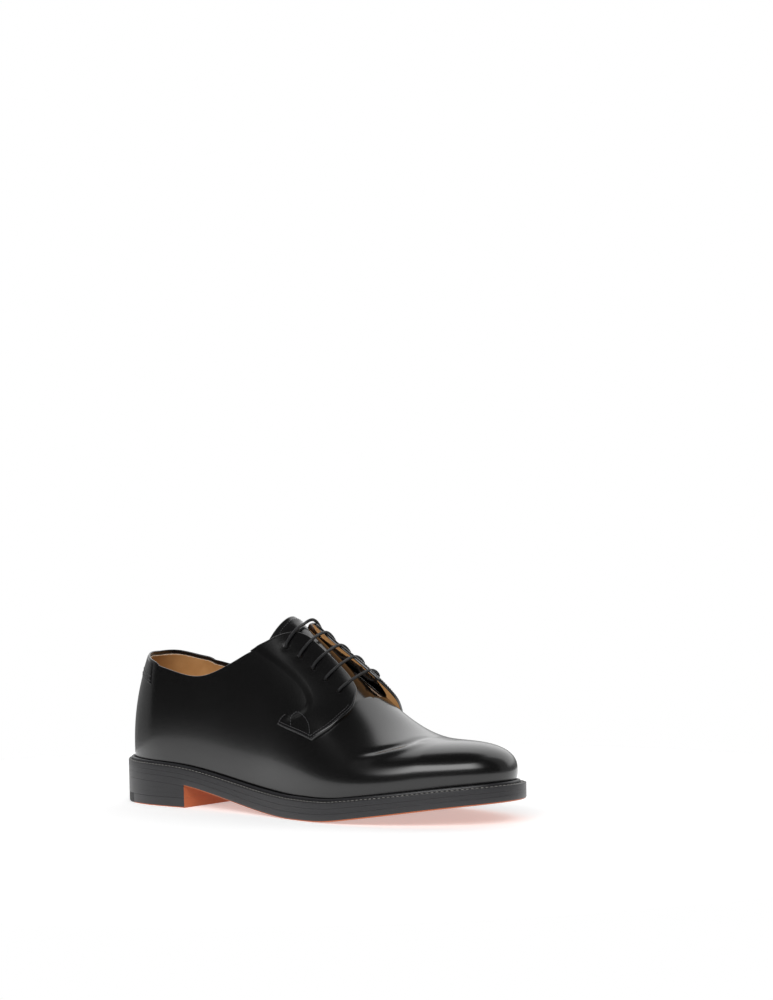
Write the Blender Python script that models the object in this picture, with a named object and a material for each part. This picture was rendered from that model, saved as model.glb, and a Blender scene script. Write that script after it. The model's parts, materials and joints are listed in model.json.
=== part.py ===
"""Derby shoe, right foot: one hollow upper on a welted sole, in metres.

X runs from heel to toe, -Y is the outer (lateral) side, Z is up and the floor is at 0.
The upper follows one surface, last_point, worked out from the named sizes and the tables of shares below.
"""

import math

import bpy
import bmesh
import numpy as np
from mathutils import Vector

# Driving sizes
LENGTH = 0.303
BALL_WIDTH = 0.109
CONE_HEIGHT = 0.140
HEEL_HEIGHT = 0.0172
SOLE_THICKNESS = 0.0125
WELT_WIDTH = 0.0065

# Walls and clearances
GAP = 0.0003
WALL = 0.0022
FACING_REAR = 0.0010
FACING_FRONT = 0.0019
TONGUE_DEPTH = 0.0037
TONGUE_WALL = 0.0020
STRAP_WALL = 0.0008
INSOLE_WALL = 0.0030
WELT_RING = 0.0140
BEAD_HEIGHT = 0.0019
TOP_PIECE = 0.0064
INSERT_LENGTH = 0.020
HEEL_BREAST = 0.071
LACE_RADIUS = 0.0011
EYELET_RADIUS = 0.0018

# Shares of the sole's thickness
OUTSOLE_SHARE = 0.40
MIDSOLE_SHARE = 0.68

# Outline of the sole: place, x share of LENGTH, y share of BALL_WIDTH
OUTLINE = (
    ("heel_back", 0.000, 0.000),
    ("heel_back_lateral", 0.030, -0.185),
    ("heel_side_lateral", 0.120, -0.300),
    ("seat_lateral", 0.235, -0.318),
    ("waist_lateral", 0.400, -0.360),
    ("joint_lateral", 0.520, -0.430),
    ("ball_lateral", 0.645, -0.495),
    ("fore_lateral", 0.770, -0.482),
    ("toe_lateral", 0.885, -0.375),
    ("toe_corner_lateral", 0.967, -0.205),
    ("toe_tip", 1.000, 0.020),
    ("toe_corner_medial", 0.972, 0.240),
    ("toe_medial", 0.895, 0.390),
    ("fore_medial", 0.780, 0.492),
    ("ball_medial", 0.670, 0.490),
    ("joint_medial", 0.550, 0.400),
    ("waist_medial", 0.400, 0.300),
    ("seat_medial", 0.235, 0.302),
    ("heel_side_medial", 0.120, 0.296),
    ("heel_back_medial", 0.030, 0.185),
)

# Underside of the outsole: x share of LENGTH, height share of HEEL_HEIGHT
FLAT_FROM = 0.555
FLAT_TO = 0.615
GROUND = (
    (0.000, 1.000),
    (0.100, 0.943),
    (0.225, 0.825),
    (0.330, 0.528),
    (0.430, 0.217),
    (0.510, 0.047),
    (0.555, 0.000),
    (0.615, 0.000),
    (0.665, 0.035),
    (0.720, 0.152),
    (0.790, 0.325),
    (0.860, 0.500),
    (0.930, 0.663),
    (1.000, 0.785),
)

# Sole thickness: x share of LENGTH, share of SOLE_THICKNESS
THICKNESS = (
    (0.000, 0.88),
    (0.250, 0.90),
    (0.500, 1.00),
    (0.750, 0.90),
    (1.000, 0.80),
)

# Shelf of the welt beside the upper: x share of LENGTH, share of WELT_WIDTH
SHELF = (
    (0.000, 0.70),
    (0.200, 0.72),
    (0.400, 0.82),
    (0.600, 1.00),
    (0.800, 1.02),
    (1.000, 0.95),
)

# Sections of the last, each in a plane across the foot.
# x share of LENGTH, ridge y share of BALL_WIDTH, ridge height share of CONE_HEIGHT,
# then for each side how square its arch is, how full its shoulder is, and its bulge as a share of BALL_WIDTH
HEEL_POLE = 0.150
TOE_POLE = 0.855
SECTIONS = (
    # x      ridge_y  ridge_z  square_l shoulder_l bulge_l  square_m shoulder_m bulge_m
    (0.150, 0.000, 1.000, -0.35, 0.30, 0.034, -0.35, 0.30, 0.034),
    (0.250, 0.000, 1.014, -0.15, 0.25, 0.029, -0.15, 0.25, 0.019),
    (0.350, 0.005, 0.986, -0.05, 0.20, 0.023, -0.05, 0.20, 0.009),
    (0.430, 0.010, 0.921, -0.08, 0.15, 0.023, -0.08, 0.20, 0.009),
    (0.500, 0.012, 0.811, -0.06, 0.10, 0.028, -0.06, 0.15, 0.018),
    (0.570, 0.012, 0.686, -0.02, 0.08, 0.028, -0.02, 0.12, 0.020),
    (0.640, 0.012, 0.540, 0.00, 0.08, 0.028, 0.00, 0.10, 0.023),
    (0.715, 0.010, 0.414, 0.08, 0.10, 0.028, 0.08, 0.10, 0.026),
    (0.790, 0.010, 0.355, 0.14, 0.15, 0.028, 0.14, 0.15, 0.028),
    (0.855, 0.010, 0.344, 0.18, 0.20, 0.028, 0.18, 0.20, 0.028),
)
HEEL_BACK_FORM = (-1.35, 0.30, 0.021)
TOE_TIP_FORM = (0.18, 0.22, 0.026)

# Top line of the upper: station round the last, height share of its rib, on the lateral and on the medial side.
# Stations 0 to 1 fan round the heel, 1 to 2 run forward between the poles, and 2 to 3 fan round the toe.
TOP_LINE = (
    (0.000, 0.340, 0.340),
    (0.400, 0.337, 0.339),
    (0.800, 0.315, 0.317),
    (1.000, 0.295, 0.301),
    (1.100, 0.275, 0.285),
    (1.180, 0.283, 0.294),
    (1.260, 0.334, 0.343),
    (1.333, 0.413, 0.419),
    (1.380, 0.478, 0.482),
    (1.430, 0.526, 0.528),
    (1.490, 0.552, 0.552),
    (1.580, 0.565, 0.565),
)
THROAT_FROM = 1.580
THROAT_TO = 1.710

# Outline of a facing: x share of LENGTH, height share of the rib there
FACING_TOP = (
    (0.404, 0.460),
    (0.437, 0.552),
    (0.462, 0.660),
    (0.478, 0.735),
    (0.495, 0.808),
    (0.512, 0.852),
)
FACING_FRONT_EDGE = (
    (0.512, 0.852),
    (0.532, 0.862),
    (0.556, 0.872),
    (0.585, 0.886),
    (0.606, 0.892),
    (0.625, 0.880),
    (0.643, 0.825),
    (0.654, 0.750),
    (0.658, 0.680),
    (0.656, 0.600),
    (0.643, 0.445),
    (0.615, 0.315),
)
FACING_REAR_EDGE = (
    (0.404, 0.460),
    (0.430, 0.466),
    (0.454, 0.474),
    (0.478, 0.485),
    (0.504, 0.497),
    (0.532, 0.500),
    (0.554, 0.492),
    (0.567, 0.470),
    (0.568, 0.440),
    (0.556, 0.395),
    (0.528, 0.335),
    (0.511, 0.270),
)
FACING_BOTTOM = (
    (0.511, 0.270),
    (0.545, 0.283),
    (0.582, 0.300),
    (0.615, 0.315),
)
LATERAL_FLARE = 0.0014
MEDIAL_FLARE = 0.0050
FLARE_FROM = 0.490
FLARE_OVER = 0.150

# Eyelets: x share of LENGTH, height share of the rib there
EYELETS = (
    (0.489, 0.625),
    (0.524, 0.648),
    (0.558, 0.664),
    (0.590, 0.676),
    (0.621, 0.688),
)

# Back strap: how far it reaches round the heel, and how high its lower edge is, as shares of the ribs
STRAP_SIDE = 0.880
STRAP_FOOT = 0.262
STRAP_CORNER = 0.229
STRAP_MARGIN = 0.010

# Tongue: x share of LENGTH, half width share of BALL_WIDTH
TONGUE = (
    (0.450, 0.185),
    (0.458, 0.212),
    (0.475, 0.230),
    (0.520, 0.235),
    (0.570, 0.225),
    (0.670, 0.190),
)
TONGUE_CORNER = 0.016


def spline(knots, values, closed=False):
    """A cubic curve through rows of values: natural at its ends, or closed."""
    k = np.asarray(knots, float)
    y = np.asarray(values, float)
    if y.ndim == 1:
        y = y[:, None]
    n = len(k)
    h = np.diff(k)
    a = np.zeros((n, n))
    b = np.zeros((n, y.shape[1]))
    slope = np.diff(y, axis=0) / h[:, None]
    for i in range(1, n - 1):
        a[i, i - 1:i + 2] = h[i - 1], 2 * (h[i - 1] + h[i]), h[i]
        b[i] = 6 * (slope[i] - slope[i - 1])
    if closed:
        a[0, 0] = 1
        a[0, n - 1] = -1
        a[n - 1, [0, 1, n - 2, n - 1]] = 2 * h[0], h[0], h[-1], 2 * h[-1]
        b[n - 1] = 6 * (slope[0] - slope[-1])
    else:
        a[0, 0] = 1
        a[-1, -1] = 1
    m = np.linalg.solve(a, b)

    def at(x):
        x = np.clip(np.asarray(x, float), k[0], k[-1])
        i = np.clip(np.searchsorted(k, x, side="right") - 1, 0, n - 2)
        g = h[i][..., None]
        u = (k[i + 1] - x)[..., None]
        w = (x - k[i])[..., None]
        bend = (m[i] * u**3 + m[i + 1] * w**3) / (6 * g)
        return bend + (y[i] / g - m[i] * g / 6) * u + (y[i + 1] / g - m[i + 1] * g / 6) * w

    return at


def table(rows):
    """The curve through a table whose first column is where its other columns hold."""
    return spline([row[0] for row in rows], [row[1:] for row in rows])


def path_of(rows):
    """The curve through points, by the share of its length."""
    p = np.array(rows, float)
    steps = np.linalg.norm(np.diff(p, axis=0), axis=1)
    t = np.concatenate([[0], np.cumsum(steps)])
    return spline(t / t[-1], p)


def outline_curve():
    p = np.array([(x * LENGTH, y * BALL_WIDTH) for _, x, y in OUTLINE])
    p = np.vstack([p, p[:1]])
    steps = np.sqrt(np.linalg.norm(np.diff(p, axis=0), axis=1))
    t = np.concatenate([[0], np.cumsum(steps)])
    return spline(t / t[-1], p, closed=True)


edge = outline_curve()
ground_share = table(GROUND)
thickness_share = table(THICKNESS)
shelf_share = table(SHELF)
section = table(SECTIONS)
top_line = table(TOP_LINE)
ROUND = np.linspace(0, 1, 2881)


def edge_normal(t, step=1e-4):
    d = edge((t + step) % 1.0) - edge((t - step) % 1.0)
    n = np.stack([d[..., 1], -d[..., 0]], -1)
    return n / np.linalg.norm(n, axis=-1, keepdims=True)


def inset(t, width):
    """The sole's outline drawn in by a width."""
    width = np.broadcast_to(np.asarray(width, float), np.shape(t))
    return edge(t) - edge_normal(t) * width[..., None]


def shelf(t):
    return WELT_WIDTH * shelf_share(edge(t)[..., 0] / LENGTH)[..., 0]


def feather(t):
    """The foot of the upper, inside the shelf of the welt."""
    return inset(t, shelf(t))


def ground(x):
    """Height of the outsole's underside."""
    s = np.asarray(x, float) / LENGTH
    z = np.maximum(ground_share(s)[..., 0], 0) * HEEL_HEIGHT
    return np.where((s > FLAT_FROM - 1e-6) & (s < FLAT_TO + 1e-6), 0.0, z)


def sole_height(x, share=1.0):
    """Height at a share of the sole's thickness."""
    x = np.asarray(x, float)
    return ground(x) + share * SOLE_THICKNESS * thickness_share(x / LENGTH)[..., 0]


EDGE_X = edge(ROUND)[:, 0]
HEEL_T = ROUND[EDGE_X.argmin()]
TIP_T = ROUND[EDGE_X.argmax()]
CENTRE_X = (EDGE_X.min() + EDGE_X.max()) / 2
CENTRE_Y = (edge(ROUND)[:, 1].min() + edge(ROUND)[:, 1].max()) / 2


def turn_of(side, x):
    """Where the outline has this x on the lateral (-1) or medial (1) side."""
    along = np.linspace(HEEL_T if HEEL_T < 0.5 else HEEL_T - 1, TIP_T, 1441)
    if side > 0:
        along = np.linspace(HEEL_T + 1 if HEEL_T < 0.5 else HEEL_T, TIP_T, 1441)
    return np.interp(x, edge(along % 1.0)[:, 0], along) % 1.0


def rib_foot(side, station):
    """Where on the outline the rib of a station stands."""
    station = np.asarray(station, float)
    t = ROUND if side < 0 else ROUND[::-1]
    f = feather(t)
    tip = f[:, 0].argmax()
    f = f[:tip + 1]
    t = t[:tip + 1]
    heel_x = HEEL_POLE * LENGTH
    toe_x = TOE_POLE * LENGTH
    heel_y = section(HEEL_POLE)[0] * BALL_WIDTH
    toe_y = section(TOE_POLE)[0] * BALL_WIDTH
    heel_angle = np.arctan2(side * (f[:, 1] - heel_y), heel_x - f[:, 0])
    toe_angle = np.arctan2(side * (f[:, 1] - toe_y), f[:, 0] - toe_x)
    rear = f[:, 0] < 0.4 * LENGTH
    middle = (f[:, 0] > 0.02 * LENGTH) & (f[:, 0] < 0.97 * LENGTH)
    fore = f[:, 0] > 0.7 * LENGTH
    x = heel_x + (np.clip(station, 1, 2) - 1) * (toe_x - heel_x)
    round_heel = np.interp(np.clip(station, 0, 1) * math.pi / 2, heel_angle[rear], t[rear])
    between = np.interp(x, f[middle, 0], t[middle])
    round_toe = np.interp((np.clip(station, 2, 3) - 3) * math.pi / 2, -toe_angle[fore], t[fore])
    return np.where(station <= 1, round_heel, np.where(station <= 2, between, round_toe))


def eased(share):
    return share * share * (3 - 2 * share)


def last_point(side, station, v):
    """A point of the closed last, from its foot (v = 0) up the rib of a station to the top (v = 1)."""
    station, v = np.broadcast_arrays(np.asarray(station, float), np.asarray(v, float))
    foot = feather(rib_foot(side, station))
    share = HEEL_POLE + (np.clip(station, 1, 2) - 1) * (TOE_POLE - HEEL_POLE)
    row = section(share)
    form = row[..., 2:5] if side < 0 else row[..., 5:8]
    heel = eased(1 - np.clip(station, 0, 1))[..., None]
    toe = eased(np.clip(station, 2, 3) - 2)[..., None]
    form = form + (np.array(HEEL_BACK_FORM) - form) * heel
    form = form + (np.array(TOE_TIP_FORM) - form) * toe
    square = form[..., 0]
    shoulder = form[..., 1]
    bulge = form[..., 2] * BALL_WIDTH
    top = np.stack([share * LENGTH, row[..., 0] * BALL_WIDTH], -1)
    reach = np.linalg.norm(foot - top, axis=-1)
    direction = (foot - top) / reach[..., None]
    s = np.sin(v * math.pi / 2)
    c = np.cos(v * math.pi / 2)
    out = reach * c * (1 + square * s * s) + 3.08 * bulge * s * c**3
    foot_z = sole_height(foot[..., 0]) + GAP
    z = foot_z + (row[..., 1] * CONE_HEIGHT - foot_z) * s * (1 + shoulder * c * c)
    return np.concatenate([top + direction * out[..., None], z[..., None]], -1)


def last_normal(side, station, v):
    """The outward normal of the last."""
    station, v = np.broadcast_arrays(np.asarray(station, float), np.asarray(v, float))
    w = np.minimum(v, 0.985)
    h = 0.004
    low = np.maximum(station - h, 0)
    high = np.minimum(station + h, 3)
    along = last_point(side, high, w) - last_point(side, low, w)
    up = last_point(side, station, w + h) - last_point(side, station, np.maximum(w - h, 0))
    n = np.cross(along, up) * -side
    n /= np.linalg.norm(n, axis=-1, keepdims=True)
    # both sides agree where they meet: on the two ends, and on the ridge, which is level across
    ends = ((station <= 0) | (station >= 3))[..., None]
    n = np.where(ends, n * (1, 0, 1), n)
    share = HEEL_POLE + (np.clip(station, 1, 2) - 1) * (TOE_POLE - HEEL_POLE)
    rise = (section(share + 0.001) - section(share - 0.001))[..., 1] * CONE_HEIGHT / (0.002 * LENGTH)
    rise = np.where(station < 2, rise, 0.0)
    ridge = np.stack([-rise, np.zeros_like(rise), np.ones_like(rise)], -1)
    n = np.where((v >= 1)[..., None], ridge, n)
    return n / np.linalg.norm(n, axis=-1, keepdims=True)


def lifted(side, station, v, lift):
    """A point at a distance outside the last."""
    lift = np.broadcast_to(np.asarray(lift, float), np.shape(np.asarray(station, float) + np.asarray(v)))
    return last_point(side, station, v) + last_normal(side, station, v) * lift[..., None]


def station_at(share):
    return 1 + (np.asarray(share, float) - HEEL_POLE) / (TOE_POLE - HEEL_POLE)


def rim(side, station):
    """The height share at which the upper ends: its top line, then the throat, with a rounded end."""
    v = top_line(np.minimum(station, THROAT_FROM))[..., 0 if side < 0 else 1]
    along = np.clip((station - THROAT_FROM) / (THROAT_TO - THROAT_FROM), 0, 1)
    return 1 - (1 - v) * (1 - along**3) ** (1 / 3)


def leather(name, colour, roughness):
    material = bpy.data.materials.new(name + "_surface")
    material.use_nodes = True
    shader = material.node_tree.nodes["Principled BSDF"]
    shader.inputs["Base Color"].default_value = (*colour, 1)
    shader.inputs["Roughness"].default_value = roughness
    return material


def node(name, points, faces, colour=(0.02, 0.02, 0.02), roughness=0.3):
    """A named solid with its faces turned outwards, centred on the sole."""
    points = np.asarray(points, float) - (CENTRE_X, CENTRE_Y, 0)
    mesh = bpy.data.meshes.new(name)
    mesh.from_pydata([tuple(p) for p in points], [], faces)
    work = bmesh.new()
    work.from_mesh(mesh)
    bmesh.ops.remove_doubles(work, verts=work.verts, dist=1e-7)
    bmesh.ops.recalc_face_normals(work, faces=work.faces)
    work.to_mesh(mesh)
    work.free()
    mesh.shade_smooth()
    thing = bpy.data.objects.new(name, mesh)
    mesh.materials.append(leather(name, colour, roughness))
    bpy.context.scene.collection.objects.link(thing)
    return thing


def grid_faces(rows, columns, first=0, wrap=False):
    """Quads between rows of numbered points."""
    last = columns if wrap else columns - 1
    faces = []
    for i in range(rows - 1):
        for j in range(last):
            a = first + i * columns + j
            b = first + i * columns + (j + 1) % columns
            faces.append((a, b, b + columns, a + columns))
    return faces


def x_steps(start, end, count):
    """Places along the sole, closer together at the round ends."""
    return start + (end - start) * (1 - np.cos(np.linspace(0, math.pi, count))) / 2


def sole_steps():
    """Places along the whole sole, with both ends of the flat spot among them."""
    xs = x_steps(EDGE_X.min(), EDGE_X.max(), 41)
    flat = np.array([FLAT_FROM, FLAT_TO]) * LENGTH
    apart = np.abs(xs[:, None] - flat).min(axis=1) > 0.006
    return np.sort(np.concatenate([xs[apart], flat]))


def stack(name, xs, rings, colour, roughness):
    """A plate of the sole. Each ring is (inset, height function), from its lower face to its upper face."""
    points = []
    n = len(xs)
    lateral = turn_of(-1, xs)
    medial = turn_of(1, xs)
    t = np.concatenate([lateral, medial[::-1]])
    for width, height in rings:
        xy = inset(t, width(t) if callable(width) else width)
        points.append(np.column_stack([xy, height(xy[:, 0])]))
    faces = grid_faces(len(rings), 2 * n, wrap=True)
    for base in (0, (len(rings) - 1) * 2 * n):
        for i in range(n - 1):
            faces.append((base + i, base + i + 1, base + 2 * n - 2 - i, base + 2 * n - 1 - i))
    return node(name, np.vstack(points), faces, colour, roughness)


def hoop(name, xs, rings, colour, roughness):
    """A ring of the sole, closed round its section."""
    lateral = turn_of(-1, xs)
    medial = turn_of(1, xs)
    t = np.concatenate([lateral, medial[::-1][1:-1]])
    points = []
    for width, height in rings:
        xy = inset(t, width(t) if callable(width) else width)
        points.append(np.column_stack([xy, height(xy[:, 0])]))
    points.append(points[0])
    faces = grid_faces(len(rings) + 1, len(t), wrap=True)
    return node(name, np.vstack(points), faces, colour, roughness)


def sole_parts():
    xs = sole_steps()
    low = lambda x: ground(x)
    outsole_top = lambda x: sole_height(x, OUTSOLE_SHARE)
    rings = (
        (0.0016, low),
        (0.0006, lambda x: low(x) + 0.0005),
        (0.0, lambda x: low(x) + 0.0014),
        (0.0, outsole_top),
    )
    stack("outsole", xs, rings, (0.30, 0.12, 0.05), 0.5)
    rings = (
        (0.0004, lambda x: outsole_top(x) + GAP),
        (0.0004, lambda x: sole_height(x, MIDSOLE_SHARE)),
    )
    stack("midsole", xs, rings, (0.03, 0.03, 0.03), 0.4)
    under = lambda x: sole_height(x, MIDSOLE_SHARE) + GAP
    upper_face = lambda x: sole_height(x)
    rings = (
        (0.0002, under),
        (0.0, lambda x: under(x) + 0.0006),
        (0.0, lambda x: upper_face(x) - 0.0007),
        (0.0007, upper_face),
        (lambda t: np.maximum(shelf(t) - 0.0034, 0.0010), upper_face),
        (lambda t: np.maximum(shelf(t) - 0.0028, 0.0014), lambda x: upper_face(x) + BEAD_HEIGHT),
        (lambda t: shelf(t) - 0.0014, lambda x: upper_face(x) + BEAD_HEIGHT),
        (lambda t: shelf(t) - 0.0010, upper_face),
        (WELT_RING, upper_face),
        (WELT_RING, under),
    )
    hoop("welt", xs, rings, (0.02, 0.02, 0.02), 0.35)


def insole():
    """The footbed: it lies on the welt inside the upper and fills the hollow between the welt's inner edges."""
    xs = sole_steps()
    rim_inset = lambda t: shelf(t) + WALL + 0.0009
    rings = (
        (WELT_RING + GAP, lambda x: sole_height(x, MIDSOLE_SHARE) + GAP),
        (WELT_RING + GAP, lambda x: sole_height(x) + GAP),
        (rim_inset, lambda x: sole_height(x) + GAP),
        (rim_inset, lambda x: sole_height(x) + GAP + INSOLE_WALL),
    )
    stack("insole", xs, rings, (0.45, 0.28, 0.14), 0.6)


def heel_parts():
    back = EDGE_X.min()
    heel_steps = lambda start, end, n: start + (end - start) * (1 - np.cos(np.linspace(0, math.pi / 2, n)))
    top = lambda x: ground(x) - GAP
    flat = lambda level: lambda x: np.full(np.shape(x), level)
    rings = (
        (0.0003, flat(TOP_PIECE + GAP)),
        (0.0, lambda x: TOP_PIECE + GAP + 0.3 * (top(x) - TOP_PIECE)),
        (0.0, top),
    )
    stack("heel_lifts", heel_steps(back, HEEL_BREAST, 17), rings, (0.03, 0.03, 0.03), 0.4)
    rings = ((0.0004, flat(0.0)), (0.0, flat(0.0008)), (0.0, flat(TOP_PIECE)))
    start = INSERT_LENGTH + GAP
    stack("heel_top_piece", np.linspace(start, HEEL_BREAST, 8), rings, (0.05, 0.04, 0.03), 0.5)
    stack("heel_rubber_insert", heel_steps(back, INSERT_LENGTH, 10), rings, (0.015, 0.015, 0.015), 0.7)


def rib_stations():
    heel = np.linspace(0, 1, 9)
    quarter = np.linspace(1, 1.36, 7)[1:]
    throat = np.array([1.40, 1.44, 1.48, 1.52, 1.56, 1.60, 1.64, 1.67, 1.69, 1.702, 1.708, THROAT_TO])
    vamp = np.linspace(THROAT_TO, 2, 6)[1:]
    toe = np.linspace(2, 3, 9)[1:]
    return np.concatenate([heel, quarter, throat, vamp, toe])


def upper():
    """The one-piece body: a wall along the last, open along its top line, its throat and underneath."""
    stations = rib_stations()
    rows = np.arange(16)
    rings = [(-1, s) for s in stations] + [(1, s) for s in stations[::-1][1:-1]]
    columns = len(rings)
    outer = np.empty((len(rows), columns, 3))
    inner = np.empty((len(rows), columns, 3))
    for j, (side, s) in enumerate(rings):
        end = rim(side, s)
        middle = np.interp(s, (THROAT_FROM, 2), (0.72 * rim(side, THROAT_FROM), 0.60))
        middle = 0.72 * end if s <= THROAT_FROM else middle
        v = np.interp(rows, (0, 8, 15), (0, middle, end))
        station = np.full(len(v), s)
        outer[:, j] = last_point(side, station, v)
        inner[:, j] = lifted(side, station, v, -WALL)
        shift = outer[0, j, 2] - inner[0, j, 2]
        inner[:, j, 2] += shift * np.clip(1 - rows / 3, 0, 1)
    points = np.concatenate([outer.reshape(-1, 3), inner.reshape(-1, 3)])
    n = len(rows) * columns
    faces = grid_faces(len(rows), columns, wrap=True)
    faces += grid_faces(len(rows), columns, first=n, wrap=True)
    top = (len(rows) - 1) * columns
    closed = [rim(side, s) >= 1 for side, s in rings]
    for j in range(columns):
        k = (j + 1) % columns
        faces.append((j, k, n + k, n + j))
        if not (closed[j] and closed[k]):
            faces.append((top + j, top + k, n + top + k, n + top + j))
    return node("upper", points, faces, (0.012, 0.012, 0.013), 0.25)


def patch(top, bottom, rear, front, down, across):
    """A grid of (share, v) between four edges that meet at their ends."""
    t, u = np.meshgrid(np.linspace(0, 1, down), np.linspace(0, 1, across), indexing="ij")
    t = t[..., None]
    u = u[..., None]
    curves = [path_of(rows) for rows in (top, bottom, rear, front)]
    over = curves[0](u[..., 0])
    under = curves[1](u[..., 0])
    behind = curves[2](t[..., 0])
    ahead = curves[3](t[..., 0])
    corners = [np.array(p) for p in (top[0], top[-1], bottom[0], bottom[-1])]
    flat = (1 - t) * ((1 - u) * corners[0] + u * corners[1]) + t * ((1 - u) * corners[2] + u * corners[3])
    return (1 - t) * over + t * under + (1 - u) * behind + u * ahead - flat


def facing_lift(side, uv):
    """How far a facing's underside stands off the body: it opens towards the throat and the front."""
    flare = LATERAL_FLARE if side < 0 else MEDIAL_FLARE
    near = np.clip((uv[..., 1] - 0.50) / 0.40, 0, 1)
    along = np.clip((uv[..., 0] - FLARE_FROM) / FLARE_OVER, 0, 1)
    return GAP + flare * eased(near) * eased(along)


def plate(name, side, uv, lift, wall, colour, roughness):
    """A plate over the last, from a grid of (share, v)."""
    stations = station_at(uv[..., 0])
    low = lifted(side, stations, uv[..., 1], lift)
    high = lifted(side, stations, uv[..., 1], lift + wall)
    rows, columns = uv.shape[:2]
    n = rows * columns
    faces = grid_faces(rows, columns) + grid_faces(rows, columns, first=n)
    around = [(0, j) for j in range(columns)] + [(i, columns - 1) for i in range(1, rows)]
    around += [(rows - 1, j) for j in range(columns - 2, -1, -1)] + [(i, 0) for i in range(rows - 2, 0, -1)]
    ids = [i * columns + j for i, j in around]
    for a, b in zip(ids, ids[1:] + ids[:1]):
        faces.append((a, b, n + b, n + a))
    return node(name, np.concatenate([low.reshape(-1, 3), high.reshape(-1, 3)]), faces, colour, roughness)


def facing(name, side):
    """One eyelet facing, with its five holes."""
    uv = patch(FACING_TOP, FACING_BOTTOM, FACING_REAR_EDGE, FACING_FRONT_EDGE, 23, 11)
    across = np.linspace(0, 1, uv.shape[1])[None, :]
    wall = FACING_REAR + (FACING_FRONT - FACING_REAR) * eased(across) + 0 * uv[..., 0]
    thing = plate(name, side, uv, facing_lift(side, uv), wall, (0.012, 0.012, 0.013), 0.25)
    for share, v in EYELETS:
        centre, axis = eyelet_place(side, share, v)
        bpy.ops.mesh.primitive_cylinder_add(vertices=12, radius=EYELET_RADIUS, depth=0.016)
        cutter = bpy.context.object
        cutter.name = "cutter_" + name
        cutter.location = centre
        cutter.rotation_euler = Vector(axis).to_track_quat("Z", "Y").to_euler()
        cutter.hide_render = True
        cutter.display_type = "WIRE"
        hole = thing.modifiers.new("eyelet", "BOOLEAN")
        hole.operation = "DIFFERENCE"
        hole.solver = "EXACT"
        hole.object = cutter
    return thing


def eyelet_place(side, share, v):
    """Where an eyelet's underside is, and the way through it."""
    uv = np.array([[share, v]])
    station = station_at(uv[:, 0])
    lift = facing_lift(side, uv)
    centre = lifted(side, station, uv[:, 1], lift)[0] - (CENTRE_X, CENTRE_Y, 0)
    step = 0.01
    ends = []
    for w in (v - step, v + step):
        uv = np.array([[share, w]])
        ends.append(lifted(side, station, uv[:, 1], facing_lift(side, uv))[0])
    up = ends[1] - ends[0]
    axis = np.cross(last_normal(side, station, [v])[0], up)
    axis = np.cross(up, axis)
    return centre, axis / np.linalg.norm(axis)


def tongue():
    """The tongue, under both facings, from inside the vamp to above the top eyelets."""
    width = table(TONGUE)
    shares = np.concatenate([[0.450, 0.454, 0.460], np.linspace(0.470, 0.670, 14)])
    across = np.linspace(-1, 1, 17)
    low = np.empty((len(shares), len(across), 3))
    high = np.empty_like(low)
    for i, share in enumerate(shares):
        half = width(share)[0] * BALL_WIDTH
        for side in (-1, 1):
            v = np.linspace(0.3, 1, 200)
            rib = lifted(side, np.full(200, station_at(share)), v, -TONGUE_DEPTH)
            off = side * (rib[:, 1] - section(share)[0] * BALL_WIDTH)
            chosen = np.where(across * side >= 0)[0]
            w = np.interp(-np.abs(across[chosen]) * half, -off[::1], v)
            back = TONGUE_CORNER * across[chosen]**2 * (TONGUE[-1][0] - share) / (TONGUE[-1][0] - TONGUE[0][0])
            s = station_at(share - back)
            high[i, chosen] = lifted(side, s, w, -TONGUE_DEPTH)
            low[i, chosen] = lifted(side, s, w, -TONGUE_DEPTH - TONGUE_WALL)
    rows, columns = low.shape[:2]
    n = rows * columns
    faces = grid_faces(rows, columns) + grid_faces(rows, columns, first=n)
    around = [(0, j) for j in range(columns)] + [(i, columns - 1) for i in range(1, rows)]
    around += [(rows - 1, j) for j in range(columns - 2, -1, -1)] + [(i, 0) for i in range(rows - 2, 0, -1)]
    ids = [i * columns + j for i, j in around]
    for a, b in zip(ids, ids[1:] + ids[:1]):
        faces.append((a, b, n + b, n + a))
    points = np.concatenate([low.reshape(-1, 3), high.reshape(-1, 3)])
    return node("tongue", points, faces, (0.015, 0.015, 0.016), 0.4)


def back_strap():
    """The strap stitched over the back seam, just under the top line."""
    rows = 6
    across = np.linspace(-1, 1, 17)
    low = np.empty((rows, len(across), 3))
    high = np.empty_like(low)
    for j, a in enumerate(across):
        side = -1 if a < 0 else 1
        station = abs(a) * STRAP_SIDE
        s = np.full(rows, station)
        foot = STRAP_FOOT + (STRAP_CORNER - STRAP_FOOT) * a * a
        v = np.linspace(foot, rim(side, station) - STRAP_MARGIN, rows)
        low[:, j] = lifted(side, s, v, GAP)
        high[:, j] = lifted(side, s, v, GAP + STRAP_WALL)
    columns = len(across)
    n = rows * columns
    faces = grid_faces(rows, columns) + grid_faces(rows, columns, first=n)
    around = [(0, j) for j in range(columns)] + [(i, columns - 1) for i in range(1, rows)]
    around += [(rows - 1, j) for j in range(columns - 2, -1, -1)] + [(i, 0) for i in range(rows - 2, 0, -1)]
    ids = [i * columns + j for i, j in around]
    for a, b in zip(ids, ids[1:] + ids[:1]):
        faces.append((a, b, n + b, n + a))
    points = np.concatenate([low.reshape(-1, 3), high.reshape(-1, 3)])
    return node("back_strap", points, faces, (0.012, 0.012, 0.013), 0.3)


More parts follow.
